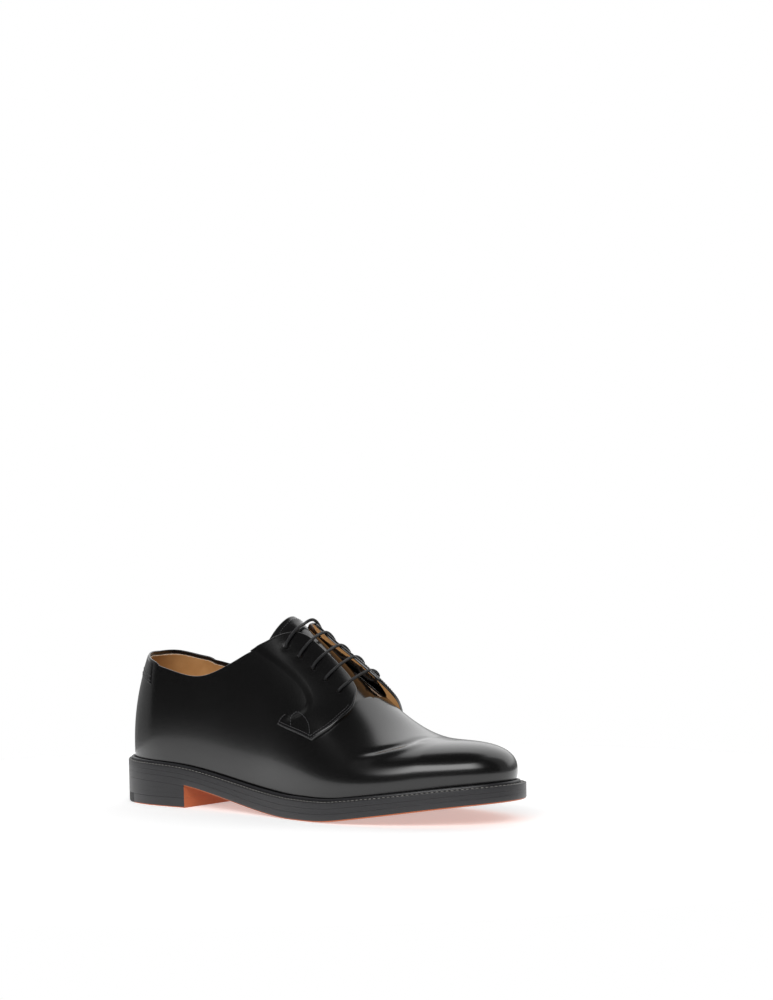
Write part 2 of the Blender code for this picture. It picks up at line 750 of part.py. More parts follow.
def lace_route():
    """The lace's centre line: a straight bar over each pair of eyelets, and hidden runs between the pairs."""
    route = []
    for i, (share, v) in enumerate(EYELETS):
        sides = (1, -1) if i % 2 == 0 else (-1, 1)
        for k, side in enumerate(sides):
            centre, axis = eyelet_place(side, share, v)
            centre = np.array(centre)
            under = centre - axis * (LACE_RADIUS + 0.0004)
            over = centre + axis * (FACING_FRONT + LACE_RADIUS + 0.0009)
            if k == 0:
                if i:
                    route.append(under)
                route.append(centre + axis * 0.0006)
                route.append(over)
                # the bar lifts off the facings and spans the throat between their edges
                other = eyelet_place(-side, share, v)[0]
                for share_y, w in ((0.30, 0.80), (0.50, 0.86)):
                    route.append(bar_point(side, share, w))
                middle = (bar_point(side, share, 0.90) + bar_point(-side, share, 0.90)) / 2
                route.append(middle)
                for share_y, w in ((0.50, 0.86), (0.30, 0.80)):
                    route.append(bar_point(-side, share, w))
            else:
                route.append(over)
                route.append(centre + axis * 0.0006)
                if i < len(EYELETS) - 1:
                    route.append(under)
    return np.array(route)


def bar_point(side, share, v):
    uv = np.array([[share, v]])
    lift = facing_lift(side, uv) + FACING_FRONT + LACE_RADIUS + 0.0010
    return lifted(side, station_at(uv[:, 0]), uv[:, 1], lift)[0] - (CENTRE_X, CENTRE_Y, 0)


def tube(name, centres, radius, sides, colour, roughness):
    """A round cord along a centre line, closed at both ends."""
    count = len(centres)
    way = np.gradient(centres, axis=0)
    way /= np.linalg.norm(way, axis=1, keepdims=True)
    up = np.cross(way[0], (0, 0, 1))
    up /= np.linalg.norm(up)
    points = []
    for i in range(count):
        up = up - way[i] * (up @ way[i])
        up /= np.linalg.norm(up)
        other = np.cross(way[i], up)
        for k in range(sides):
            angle = 2 * math.pi * k / sides
            points.append(centres[i] + radius * (up * math.cos(angle) + other * math.sin(angle)))
    faces = grid_faces(count, sides, wrap=True)
    faces.append(tuple(range(sides)))
    faces.append(tuple(range((count - 1) * sides, count * sides)))
    points = np.array(points) + (CENTRE_X, CENTRE_Y, 0)
    return node(name, points, faces, colour, roughness)


def lace():
    route = lace_route()
    steps = np.linalg.norm(np.diff(route, axis=0), axis=1)
    t = np.concatenate([[0], np.cumsum(np.sqrt(steps))])
    curve = spline(t / t[-1], route)
    centres = curve(np.linspace(0, 1, 150))
    return tube("lace", centres, LACE_RADIUS, 6, (0.01, 0.01, 0.01), 0.5)


def main():
    for thing in list(bpy.data.objects):
        bpy.data.objects.remove(thing)
    sole_parts()
    insole()
    heel_parts()
    upper()
    facing("facing_lateral", -1)
    facing("facing_medial", 1)
    tongue()
    back_strap()
    lace()


main()
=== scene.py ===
# %% [markdown]
# # A black derby shoe
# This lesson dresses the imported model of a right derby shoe: polished black leather, a welted leather sole,
# a stacked heel and a thin waxed lace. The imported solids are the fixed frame, and each visible piece
# is built again on the same form with more points, edges and stitches.
# Everything is in metres: X runs from heel to toe, -Y is the outer side, and the floor is at 0.

# %% Load the frame
import json
import math

import bpy
import bmesh
import numpy as np
from mathutils import Matrix, Vector

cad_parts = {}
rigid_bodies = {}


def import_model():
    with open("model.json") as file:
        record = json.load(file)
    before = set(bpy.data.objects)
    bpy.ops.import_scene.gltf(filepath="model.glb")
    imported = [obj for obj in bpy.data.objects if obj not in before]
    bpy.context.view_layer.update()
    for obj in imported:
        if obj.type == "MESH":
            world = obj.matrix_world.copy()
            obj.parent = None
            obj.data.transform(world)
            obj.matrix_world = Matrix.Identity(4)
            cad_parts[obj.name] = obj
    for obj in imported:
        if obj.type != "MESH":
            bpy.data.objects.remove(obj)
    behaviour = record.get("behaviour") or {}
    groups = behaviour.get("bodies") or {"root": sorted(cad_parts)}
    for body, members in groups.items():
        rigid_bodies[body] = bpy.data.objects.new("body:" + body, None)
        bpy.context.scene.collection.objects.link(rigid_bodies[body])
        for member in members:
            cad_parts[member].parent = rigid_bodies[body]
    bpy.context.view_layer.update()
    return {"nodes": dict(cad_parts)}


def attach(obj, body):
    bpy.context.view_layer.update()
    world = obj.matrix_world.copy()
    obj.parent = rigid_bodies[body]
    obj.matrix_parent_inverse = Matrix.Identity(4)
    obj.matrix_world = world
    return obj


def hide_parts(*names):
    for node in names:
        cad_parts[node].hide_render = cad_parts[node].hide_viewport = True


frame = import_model()
for thing in list(bpy.data.objects):
    if thing.type in ("CAMERA", "LIGHT") or thing.name == "Cube":
        bpy.data.objects.remove(thing)
print("the frame holds", sorted(frame["nodes"]))

# %% [markdown]
# ## The sizes
# A shoemaker starts from the last, the solid form that the leather is pulled over, and from the outline
# of the sole. Both are given here by a few sizes and by short tables of shares of them, and a smooth curve
# runs through each table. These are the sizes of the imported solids, so that every piece lands on them.

# %% Sizes of the shoe
LENGTH = 0.303
BALL_WIDTH = 0.109
CONE_HEIGHT = 0.140
HEEL_HEIGHT = 0.0172
SOLE_THICKNESS = 0.0125
WELT_WIDTH = 0.0065
GAP = 0.0003
WALL = 0.0022
FACING_REAR = 0.0006
FACING_FRONT = 0.0019
TONGUE_DEPTH = 0.0037
TONGUE_WALL = 0.0020
INSOLE_WALL = 0.0030
WELT_RING = 0.0140
BEAD_HEIGHT = 0.0019
TOP_PIECE = 0.0064
INSERT_LENGTH = 0.020
HEEL_BREAST = 0.071
LACE_RADIUS = 0.0011
OUTSOLE_SHARE = 0.40
MIDSOLE_SHARE = 0.68
HEEL_POLE = 0.150
TOE_POLE = 0.855
FLAT_FROM = 0.555
FLAT_TO = 0.615
print("a last for a sole", round(LENGTH * 1000), "mm long and", round(BALL_WIDTH * 1000), "mm wide")

# %% Outline of the sole: x share of LENGTH, y share of BALL_WIDTH
OUTLINE = (
    (0.000, 0.000), (0.030, -0.185), (0.120, -0.300), (0.235, -0.318), (0.400, -0.360), (0.520, -0.430),
    (0.645, -0.495), (0.770, -0.482), (0.885, -0.375), (0.967, -0.205), (1.000, 0.020), (0.972, 0.240),
    (0.895, 0.390), (0.780, 0.492), (0.670, 0.490), (0.550, 0.400), (0.400, 0.300), (0.235, 0.302),
    (0.120, 0.296), (0.030, 0.185),
)
print("the outline has", len(OUTLINE), "points")

# %% Underside, thickness and shelf of the sole: x share, then a share of the size it belongs to
GROUND = (
    (0.000, 1.000), (0.100, 0.943), (0.225, 0.825), (0.330, 0.528), (0.430, 0.217), (0.510, 0.047),
    (0.555, 0.000), (0.615, 0.000), (0.665, 0.035), (0.720, 0.152), (0.790, 0.325), (0.860, 0.500),
    (0.930, 0.663), (1.000, 0.785),
)
THICKNESS = ((0.000, 0.88), (0.250, 0.90), (0.500, 1.00), (0.750, 0.90), (1.000, 0.80))
SHELF = ((0.000, 0.70), (0.200, 0.72), (0.400, 0.82), (0.600, 1.00), (0.800, 1.02), (1.000, 0.95))
print("the toe springs up", round(GROUND[-1][1] * HEEL_HEIGHT * 1000, 1), "mm")

# %% Sections of the last: x share, ridge y, ridge height, then square, shoulder and bulge for each side
SECTIONS = (
    (0.150, 0.000, 1.000, -0.35, 0.30, 0.034, -0.35, 0.30, 0.034),
    (0.250, 0.000, 1.014, -0.15, 0.25, 0.029, -0.15, 0.25, 0.019),
    (0.350, 0.005, 0.986, -0.05, 0.20, 0.023, -0.05, 0.20, 0.009),
    (0.430, 0.010, 0.921, -0.08, 0.15, 0.023, -0.08, 0.20, 0.009),
    (0.500, 0.012, 0.811, -0.06, 0.10, 0.028, -0.06, 0.15, 0.018),
    (0.570, 0.012, 0.686, -0.02, 0.08, 0.028, -0.02, 0.12, 0.020),
    (0.640, 0.012, 0.540, 0.00, 0.08, 0.028, 0.00, 0.10, 0.023),
    (0.715, 0.010, 0.414, 0.08, 0.10, 0.028, 0.08, 0.10, 0.026),
    (0.790, 0.010, 0.355, 0.14, 0.15, 0.028, 0.14, 0.15, 0.028),
    (0.855, 0.010, 0.344, 0.18, 0.20, 0.028, 0.18, 0.20, 0.028),
)
HEEL_BACK_FORM = (-1.35, 0.30, 0.021)
TOE_TIP_FORM = (0.18, 0.22, 0.026)
print("the last has", len(SECTIONS), "sections")

# %% Top line of the upper: station round the last, height share of its rib on each side
TOP_LINE = (
    (0.000, 0.340, 0.340), (0.400, 0.337, 0.339), (0.800, 0.315, 0.317), (1.000, 0.295, 0.301),
    (1.100, 0.275, 0.285), (1.180, 0.283, 0.294), (1.260, 0.334, 0.343), (1.333, 0.413, 0.419),
    (1.380, 0.478, 0.482), (1.430, 0.526, 0.528), (1.490, 0.552, 0.552), (1.580, 0.565, 0.565),
)
THROAT_FROM = 1.580
THROAT_TO = 1.710
print("the throat opens between stations", THROAT_FROM, "and", THROAT_TO)

# %% Outline of a facing: x share, height share of the rib there
FACING_TOP = ((0.404, 0.460), (0.437, 0.552), (0.462, 0.660), (0.478, 0.735), (0.495, 0.808), (0.512, 0.852))
FACING_FRONT_EDGE = (
    (0.512, 0.852), (0.532, 0.862), (0.556, 0.872), (0.585, 0.886), (0.606, 0.892), (0.625, 0.880),
    (0.643, 0.825), (0.654, 0.750), (0.658, 0.680), (0.656, 0.600), (0.643, 0.445), (0.615, 0.315),
)
FACING_REAR_EDGE = (
    (0.404, 0.460), (0.430, 0.466), (0.454, 0.474), (0.478, 0.485), (0.504, 0.497), (0.532, 0.500),
    (0.554, 0.492), (0.567, 0.470), (0.568, 0.440), (0.556, 0.395), (0.528, 0.335), (0.511, 0.270),
)
FACING_BOTTOM = ((0.511, 0.270), (0.545, 0.283), (0.582, 0.300), (0.615, 0.315))
LATERAL_FLARE = 0.0014
MEDIAL_FLARE = 0.0050
FLARE_FROM = 0.490
FLARE_OVER = 0.150
EYELETS = ((0.487, 0.632), (0.522, 0.656), (0.557, 0.672), (0.588, 0.688), (0.619, 0.708))
print("each facing has", len(EYELETS), "eyelets")

# %% Tongue and back strap
TONGUE = ((0.450, 0.185), (0.458, 0.212), (0.475, 0.230), (0.520, 0.235), (0.570, 0.225), (0.670, 0.190))
TONGUE_CORNER = 0.016
STRAP_SIDE = 0.880
STRAP_FOOT = 0.262
STRAP_CORNER = 0.229
STRAP_MARGIN = 0.010
print("the tongue is", round((TONGUE[-1][0] - TONGUE[0][0]) * LENGTH * 1000), "mm long")

# %% [markdown]
# ## Smooth curves through the tables
# A cubic spline passes through every row of a table and bends evenly between them, as a wooden batten does
# when a boat builder bends it round pins. NumPy solves for its bends once, and the curve is then read
# anywhere.

# %% Splines
def spline(knots, values, closed=False):
    k = np.asarray(knots, float)
    y = np.asarray(values, float)
    if y.ndim == 1:
        y = y[:, None]
    n = len(k)
    h = np.diff(k)
    a = np.zeros((n, n))
    b = np.zeros((n, y.shape[1]))
    slope = np.diff(y, axis=0) / h[:, None]
    for i in range(1, n - 1):
        a[i, i - 1:i + 2] = h[i - 1], 2 * (h[i - 1] + h[i]), h[i]
        b[i] = 6 * (slope[i] - slope[i - 1])
    if closed:
        a[0, 0] = 1
        a[0, n - 1] = -1
        a[n - 1, [0, 1, n - 2, n - 1]] = 2 * h[0], h[0], h[-1], 2 * h[-1]
        b[n - 1] = 6 * (slope[0] - slope[-1])
    else:
        a[0, 0] = 1
        a[-1, -1] = 1
    m = np.linalg.solve(a, b)

    def at(x):
        x = np.clip(np.asarray(x, float), k[0], k[-1])
        i = np.clip(np.searchsorted(k, x, side="right") - 1, 0, n - 2)
        g = h[i][..., None]
        u = (k[i + 1] - x)[..., None]
        w = (x - k[i])[..., None]
        bend = (m[i] * u**3 + m[i + 1] * w**3) / (6 * g)
        return bend + (y[i] / g - m[i] * g / 6) * u + (y[i + 1] / g - m[i + 1] * g / 6) * w

    return at


def table(rows):
    return spline([row[0] for row in rows], [row[1:] for row in rows])


def run_along(points, power=1.0):
    steps = np.linalg.norm(np.diff(points, axis=0), axis=1)
    return np.concatenate([[0], np.cumsum(steps**power)])


def path_of(rows):
    p = np.array(rows, float)
    t = run_along(p)
    return spline(t / t[-1], p)


def unit(direction):
    return direction / np.linalg.norm(direction, axis=-1, keepdims=True)


def eased(share):
    return share * share * (3 - 2 * share)


def ramp(x, start, end):
    return eased(np.clip((x - start) / (end - start), 0, 1))


print("halfway up its slope a ramp reads", float(ramp(0.5, 0, 1)))

# %% The sole's outline, and its heights
def outline_curve():
    p = np.array([(x * LENGTH, y * BALL_WIDTH) for x, y in OUTLINE])
    p = np.vstack([p, p[:1]])
    t = run_along(p, 0.5)
    return spline(t / t[-1], p, closed=True)


edge = outline_curve()
ground_share = table(GROUND)
thickness_share = table(THICKNESS)
shelf_share = table(SHELF)
section = table(SECTIONS)
top_line = table(TOP_LINE)
ROUND = np.linspace(0, 1, 2881)


def edge_normal(t, step=1e-4):
    d = edge((t + step) % 1.0) - edge((t - step) % 1.0)
    return unit(np.stack([d[..., 1], -d[..., 0]], -1))


def inset(t, width):
    width = np.broadcast_to(np.asarray(width, float), np.shape(t))
    return edge(t) - edge_normal(t) * width[..., None]


def shelf(t):
    return WELT_WIDTH * shelf_share(edge(t)[..., 0] / LENGTH)[..., 0]


def ground(x):
    s = np.asarray(x, float) / LENGTH
    z = np.maximum(ground_share(s)[..., 0], 0) * HEEL_HEIGHT
    return np.where((s > FLAT_FROM - 1e-6) & (s < FLAT_TO + 1e-6), 0.0, z)


def sole_height(x, share=1.0):
    x = np.asarray(x, float)
    return ground(x) + share * SOLE_THICKNESS * thickness_share(x / LENGTH)[..., 0]


EDGE_X = edge(ROUND)[:, 0]
HEEL_T = ROUND[EDGE_X.argmin()]
TIP_T = ROUND[EDGE_X.argmax()]
EDGE_Y = edge(ROUND)[:, 1]
CENTRE = np.array([(EDGE_X.min() + EDGE_X.max()) / 2, np.ptp(EDGE_Y) / 2 + EDGE_Y.min(), 0])
print("the sole is", round(np.ptp(EDGE_X) * 1000, 1), "mm long")


def turn_of(side, x):
    start = HEEL_T if HEEL_T < 0.5 else HEEL_T - 1
    along = np.linspace(start if side < 0 else start + 1, TIP_T, 1441)
    return np.interp(x, edge(along % 1.0)[:, 0], along) % 1.0


# %% [markdown]
# ## The last
# The leather follows one surface. Ribs stand on the sole's inner line and meet along a ridge on top: they
# fan round the heel (stations 0 to 1), run forward (1 to 2) and fan round the toe (2 to 3). A point is
# named by its side, its station and its share v of the way up its rib.

# %% The feet of the ribs
def rib_feet(side):
    t = ROUND if side < 0 else ROUND[::-1]
    f = inset(t, shelf(t))
    heel_y = section(HEEL_POLE)[0] * BALL_WIDTH
    toe_y = section(TOE_POLE)[0] * BALL_WIDTH
    # each side runs on until it is straight ahead of the toe's pole, so that both meet there
    tip = np.argmax((f[:, 0] > TOE_POLE * LENGTH) & (side * (f[:, 1] - toe_y) < 0))
    f = f[:tip + 1]
    t = t[:tip + 1]
    heel_angle = np.arctan2(side * (f[:, 1] - heel_y), HEEL_POLE * LENGTH - f[:, 0])
    toe_angle = np.arctan2(side * (f[:, 1] - toe_y), f[:, 0] - TOE_POLE * LENGTH)
    rear = f[:, 0] < 0.4 * LENGTH
    middle = (f[:, 0] > 0.02 * LENGTH) & (f[:, 0] < 0.97 * LENGTH)
    fore = f[:, 0] > 0.7 * LENGTH
    return (heel_angle[rear], t[rear]), (f[middle, 0], t[middle]), (-toe_angle[fore], t[fore])


RIB_FEET = {side: rib_feet(side) for side in (-1, 1)}


def pole_share(station):
    return HEEL_POLE + (np.clip(station, 1, 2) - 1) * (TOE_POLE - HEEL_POLE)


def rib_foot(side, station):
    heel, middle, toe = RIB_FEET[side]
    x = LENGTH * pole_share(station)
    round_heel = np.interp(np.clip(station, 0, 1) * math.pi / 2, *heel)
    between = np.interp(x, *middle)
    round_toe = np.interp((np.clip(station, 2, 3) - 3) * math.pi / 2, *toe)
    return np.where(station <= 1, round_heel, np.where(station <= 2, between, round_toe))


print("ribs stand at", sum(len(part[0]) for part in RIB_FEET[-1]), "places on the outer side")

# %% A point of the last, and the way out of it
# s * c**3 is 1 / 3.08 at its highest, so a bulge is as high as the table says
BULGE_PEAK = 3.08
BELOW_RIDGE = 0.985
NORMAL_STEP = 0.004


def last_point(side, station, v):
    station, v = np.broadcast_arrays(np.asarray(station, float), np.asarray(v, float))
    turn = rib_foot(side, station)
    foot = inset(turn, shelf(turn))
    share = pole_share(station)
    row = section(share)
    form = row[..., 2:5] if side < 0 else row[..., 5:8]
    heel = eased(1 - np.clip(station, 0, 1))[..., None]
    toe = eased(np.clip(station, 2, 3) - 2)[..., None]
    form = form + (np.array(HEEL_BACK_FORM) - form) * heel
    form = form + (np.array(TOE_TIP_FORM) - form) * toe
    square = form[..., 0]
    shoulder = form[..., 1]
    bulge = form[..., 2] * BALL_WIDTH
    top = np.stack([share * LENGTH, row[..., 0] * BALL_WIDTH], -1)
    reach = np.linalg.norm(foot - top, axis=-1)
    direction = (foot - top) / reach[..., None]
    s = np.sin(v * math.pi / 2)
    c = np.cos(v * math.pi / 2)
    out = reach * c * (1 + square * s * s) + BULGE_PEAK * bulge * s * c**3
    foot_z = sole_height(foot[..., 0]) + GAP
    z = foot_z + (row[..., 1] * CONE_HEIGHT - foot_z) * s * (1 + shoulder * c * c)
    return np.concatenate([top + direction * out[..., None], z[..., None]], -1)


def last_normal(side, station, v):
    station, v = np.broadcast_arrays(np.asarray(station, float), np.asarray(v, float))
    w = np.minimum(v, BELOW_RIDGE)
    low = np.maximum(station - NORMAL_STEP, 0)
    high = np.minimum(station + NORMAL_STEP, 3)
    along = last_point(side, high, w) - last_point(side, low, w)
    below = np.maximum(w - NORMAL_STEP, 0)
    up = last_point(side, station, w + NORMAL_STEP) - last_point(side, station, below)
    n = unit(np.cross(along, up) * -side)
    # both sides agree where they meet: on the two ends, and on the ridge, which is level across
    ends = ((station <= 0) | (station >= 3))[..., None]
    n = np.where(ends, n * (1, 0, 1), n)
    share = pole_share(station)
    rise = (section(share + 0.001) - section(share - 0.001))[..., 1] * CONE_HEIGHT / (0.002 * LENGTH)
    rise = np.where(station < 2, rise, 0.0)
    ridge = np.stack([-rise, np.zeros_like(rise), np.ones_like(rise)], -1)
    return unit(np.where((v >= 1)[..., None], ridge, n))


def lifted(side, station, v, lift):
    lift = np.broadcast_to(np.asarray(lift, float), np.shape(np.asarray(station, float) + np.asarray(v)))
    return last_point(side, station, v) + last_normal(side, station, v) * lift[..., None]


def station_at(share):
    return 1 + (np.asarray(share, float) - HEEL_POLE) / (TOE_POLE - HEEL_POLE)


def rim(side, station):
    v = top_line(np.minimum(station, THROAT_FROM))[..., 0 if side < 0 else 1]
    along = np.clip((station - THROAT_FROM) / (THROAT_TO - THROAT_FROM), 0, 1)
    return 1 - (1 - v) * (1 - along**3) ** (1 / 3)


print("the ridge stands", round(float(last_point(-1, 1.0, 1.0)[2]) * 1000), "mm high over the heel")

# %% [markdown]
# ## From points to pieces
# Every piece is a grid of points joined by four-sided faces, so one helper turns rows of points into a mesh,
# turns its faces outwards, shades it smooth, hangs it on the frame and hides the solid it stands for.

# %% Meshes
def grid_faces(rows, columns, first=0, wrap=False):
    j = np.arange(columns if wrap else columns - 1)
    i = np.arange(rows - 1)[:, None]
    a = first + i * columns + j
    b = first + i * columns + (j + 1) % columns
    return np.stack([a, b, b + columns, a + columns], -1).reshape(-1, 4).tolist()


def make_piece(name, points, faces, finish, replaces=(), sharp=None, weld=2e-7, marks=None,
               second=None):
    mesh = bpy.data.meshes.new(name)
    mesh.from_pydata((np.asarray(points, float) - CENTRE).tolist(), [], faces)
    for mark, values in (marks or {}).items():
        layer = mesh.attributes.new(mark, "FLOAT", "POINT")
        layer.data.foreach_set("value", np.ravel(values).astype(np.float32))
    if second is not None:
        mesh.polygons.foreach_set("material_index", np.asarray(second[1], np.int32))
    work = bmesh.new()
    work.from_mesh(mesh)
    bmesh.ops.remove_doubles(work, verts=work.verts, dist=weld)
    bmesh.ops.recalc_face_normals(work, faces=work.faces)
    if sharp:
        for line in work.edges:
            line.smooth = len(line.link_faces) != 2 or line.calc_face_angle() < math.radians(sharp)
    work.to_mesh(mesh)
    work.free()
    mesh.polygons.foreach_set("use_smooth", [True] * len(mesh.polygons))
    mesh.materials.append(finish)
    if second is not None:
        mesh.materials.append(second[0])
    thing = bpy.data.objects.new(name, mesh)
    bpy.context.scene.collection.objects.link(thing)
    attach(thing, "root")
    if replaces:
        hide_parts(*replaces)
    print(f"{name}: {len(mesh.polygons)} faces")
    return thing


# %% [markdown]
# ## Writing a finish
# A finish is a small tree of shader nodes. The two classes below let it be written as plain sums: a Value is
# one socket, and adding or multiplying Values adds Math nodes. Colours go through Mix nodes instead,
# since a Math node would turn them grey.

# %% Values and finishes
class Value:
    def __init__(self, finish, socket):
        self.finish = finish
        self.socket = socket

    def math(self, operation, *others):
        return self.finish.node("ShaderNodeMath", {"operation": operation}, dict(enumerate((self, *others))))

    def __add__(self, other):
        return self.math("ADD", other)

    def __sub__(self, other):
        return self.math("SUBTRACT", other)

    def __rsub__(self, other):
        return self.finish.node("ShaderNodeMath", {"operation": "SUBTRACT"}, {0: other, 1: self})

    def __mul__(self, other):
        return self.math("MULTIPLY", other)

    __radd__ = __add__
    __rmul__ = __mul__


class Tree:
    def put(self, node, socket, value):
        target = node.inputs[socket]
        if isinstance(value, Value):
            self.tree.links.new(value.socket, target)
        elif hasattr(value, "__len__") and len(value) == 3 and target.type == "RGBA":
            target.default_value = (*value, 1)
        else:
            target.default_value = value

    def node(self, kind, settings=None, sockets=None, out=0):
        made = self.tree.nodes.new(kind)
        for name, value in (settings or {}).items():
            setattr(made, name, value)
        for socket, value in (sockets or {}).items():
            self.put(made, socket, value)
        return Value(self, made.outputs[out])

    def blend(self, share, one, two):
        return self.node("ShaderNodeMix", {"data_type": "RGBA"}, {"Factor": share, 6: one, 7: two}, out=2)

    def step(self, value, start, end):
        return self.node("ShaderNodeMapRange", {"interpolation_type": "SMOOTHSTEP"}, {
            "Value": value, "From Min": start, "From Max": end})


class Finish(Tree):
    def __init__(self, name, roughness, **constants):
        self.material = bpy.data.materials.new(name)
        self.material.use_nodes = True
        self.tree = self.material.node_tree
        self.shader = self.tree.nodes["Principled BSDF"]
        self.put(self.shader, "Roughness", roughness)
        for socket, value in constants.items():
            self.put(self.shader, socket.replace("_", " ").title().replace("Ior", "IOR"), value)

    def place(self, stretch=(1, 1, 1)):
        return self.node("ShaderNodeMapping", {}, {
            "Vector": self.node("ShaderNodeTexCoord", out="Object"), "Scale": stretch})

    def noise(self, scale, detail=2.0, stretch=(1, 1, 1)):
        return self.node("ShaderNodeTexNoise", {}, {
            "Vector": self.place(stretch), "Scale": scale, "Detail": detail})

    def cells(self, scale, stretch=(1, 1, 1), feature="F1"):
        return self.node("ShaderNodeTexVoronoi", {"feature": feature}, {
            "Vector": self.place(stretch), "Scale": scale}, out="Distance")

    def mark(self, name):
        return self.node("ShaderNodeAttribute", {"attribute_name": name}, out="Fac")

    def bump(self, height, distance, strength=1.0):
        self.put(self.shader, "Normal", self.node("ShaderNodeBump", {}, {
            "Height": height, "Distance": distance, "Strength": strength}))
        return self


# %% [markdown]
# ## The finishes
# The upper is smooth calf with a polished, corrected surface: nearly black, with broad soft reflections
# and only a trace of pores. The lining is undyed camel leather, the sole is orange-tan leather with its edges
# inked black, the heel's rear corner is rubber, and the lace is waxed cotton.

# %% The finishes
def polished_leather(name="polished_black_leather", base=0.0045):
    f = Finish(name, 0.2, specular_ior_level=0.55, coat_weight=0.4, coat_roughness=0.10, coat_ior=1.5)
    cloud = f.noise(28, 3)
    pores = f.cells(1500)
    grain = f.noise(900, 3)
    crease = f.mark("crease")
    deep, pale = (base * 0.8, base * 0.8, base * 0.82), (base * 1.3, base * 1.28, base * 1.3)
    f.put(f.shader, "Base Color", f.blend(cloud, deep, pale))
    f.put(f.shader, "Roughness", 0.19 + cloud * 0.04 + grain * 0.03 + crease * 0.05)
    return f.bump(pores * 0.35 + grain * 0.5 + f.noise(260, 2) * (0.4 + crease * 1.2), 0.00006, 0.35)


def lining_leather(name="camel_lining_leather", light=1.0, painted_glow=0.0):
    # a light above 1 and an emission glow paint light onto the lining: painted light for the facings' lining,
    # which lies in shade
    f = Finish(name, 0.6, specular_ior_level=0.3, emission_color=(0.60, 0.32, 0.13), emission_strength=painted_glow)
    mottle = f.noise(120, 4)
    deep, pale = (0.42 * light, 0.195 * light, 0.062 * light), (0.60 * light, 0.32 * light, 0.125 * light)
    tan = f.blend(mottle, deep, pale)
    # painted shade: the lining is painted near black inside the forepart, where it lies in shade, so that no
    # stray light shows through the throat
    ahead = f.node("ShaderNodeSeparateXYZ", {}, {"Vector": f.place()})
    fold_wear_and_painted_shade = tan if painted_glow else f.blend(f.step(ahead, -0.02, 0.02), tan, (0.030, 0.018, 0.010))
    f.put(f.shader, "Base Color", f.blend(f.mark("lip"), fold_wear_and_painted_shade, (0.66, 0.50, 0.38)))
    f.put(f.shader, "Roughness", 0.55 + mottle * 0.15)
    return f.bump(f.noise(700, 4) + f.cells(420) * 0.3, 0.00012, 0.5)


def edge_ink():
    f = Finish("inked_edge", 0.34, specular_ior_level=0.58)
    layers = f.noise(90, 3, (1, 1, 12))
    fibre = f.noise(600, 3, (1, 1, 3))
    f.put(f.shader, "Base Color", f.blend(layers, (0.012, 0.012, 0.0135), (0.022, 0.0215, 0.0240)))
    f.put(f.shader, "Roughness", 0.30 + layers * 0.08 + fibre * 0.05)
    return f.bump(layers * 0.10 + fibre * 0.35, 0.00005, 0.3)


def sole_leather():
    f = Finish("orange_tan_sole_leather", 0.5, specular_ior_level=0.4)
    cloud = f.noise(35, 4)
    fibre = f.noise(500, 4, (1, 2.2, 1))
    f.put(f.shader, "Base Color", f.blend(cloud, (0.40, 0.105, 0.038), (0.56, 0.165, 0.062)))
    f.put(f.shader, "Roughness", 0.42 + fibre * 0.2)
    return f.bump(fibre + cloud * 0.4, 0.00008, 0.5)


def heel_rubber():
    f = Finish("black_heel_rubber", 0.6)
    grit = f.noise(800, 3)
    f.put(f.shader, "Base Color", f.blend(grit, (0.008, 0.008, 0.009), (0.018, 0.018, 0.019)))
    f.put(f.shader, "Roughness", 0.5 + grit * 0.2)
    return f.bump(grit, 0.0001, 0.6)


def waxed_cotton(name, dark, light, roughness=0.5):
    f = Finish(name, roughness, specular_ior_level=0.35)
    strands = f.cells(2600)
    f.put(f.shader, "Base Color", f.blend(strands, dark, light))
    f.put(f.shader, "Roughness", roughness - 0.05 + strands * 0.2)
    return f.bump(strands, 0.0002, 0.7)


BLACK_LEATHER = polished_leather().material
TONGUE_LEATHER = polished_leather("soft_black_leather", 0.006).material
LINING = lining_leather().material
# the facings' lining is the camel lining made 1.6 times lighter and given a glow: painted light where the
# flaps shade it
FACING_LINING_PAINTED_LIGHT = lining_leather("facing_lining_painted_light", 1.6, 0.35).material
EDGE = edge_ink().material
TAN_SOLE = sole_leather().material
RUBBER = heel_rubber().material
LACE = waxed_cotton("black_waxed_lace", (0.003, 0.003, 0.0035), (0.010, 0.010, 0.011), 0.40).material
BLACK_THREAD = waxed_cotton("black_thread", (0.022, 0.022, 0.024), (0.065, 0.065, 0.068), 0.35).material
GREY_THREAD = waxed_cotton("grey_welt_thread", (0.10, 0.095, 0.09), (0.34, 0.33, 0.31), 0.5).material
print("finishes:", len(bpy.data.materials))


# %% [markdown]
# ## The creases
# A worn or lasted vamp breaks in soft folds across the joint of the toes. Each fold is a line on the last
# with a depth and a width in millimetres, and the leather sinks or rises round that line. A trough with a
# ridge just below it reads as one real fold.

# %% Folds: side, depth in mm (minus sinks), half width in mm, and points of (x share, v, strength)
FOLD_POINTS = 25
FOLDS = (
    (-1, -0.9, 2.6, ((0.798, 1.00, 0.25), (0.794, 0.825, 0.7), (0.787, 0.67, 1.0), (0.770, 0.557, 0.9),
                     (0.747, 0.468, 0.6), (0.719, 0.385, 0.0))),
    (-1, 0.7, 3.4, ((0.822, 0.80, 0.0), (0.812, 0.640, 0.8), (0.797, 0.560, 1.0), (0.772, 0.480, 0.9),
                    (0.740, 0.400, 0.5), (0.702, 0.300, 0.0))),
    (1, -0.9, 2.6, ((0.798, 1.00, 0.25), (0.797, 0.93, 0.20), (0.792, 0.85, 0.12), (0.782, 0.75, 0.0))),
)
print("the vamp has", len(FOLDS), "folds")


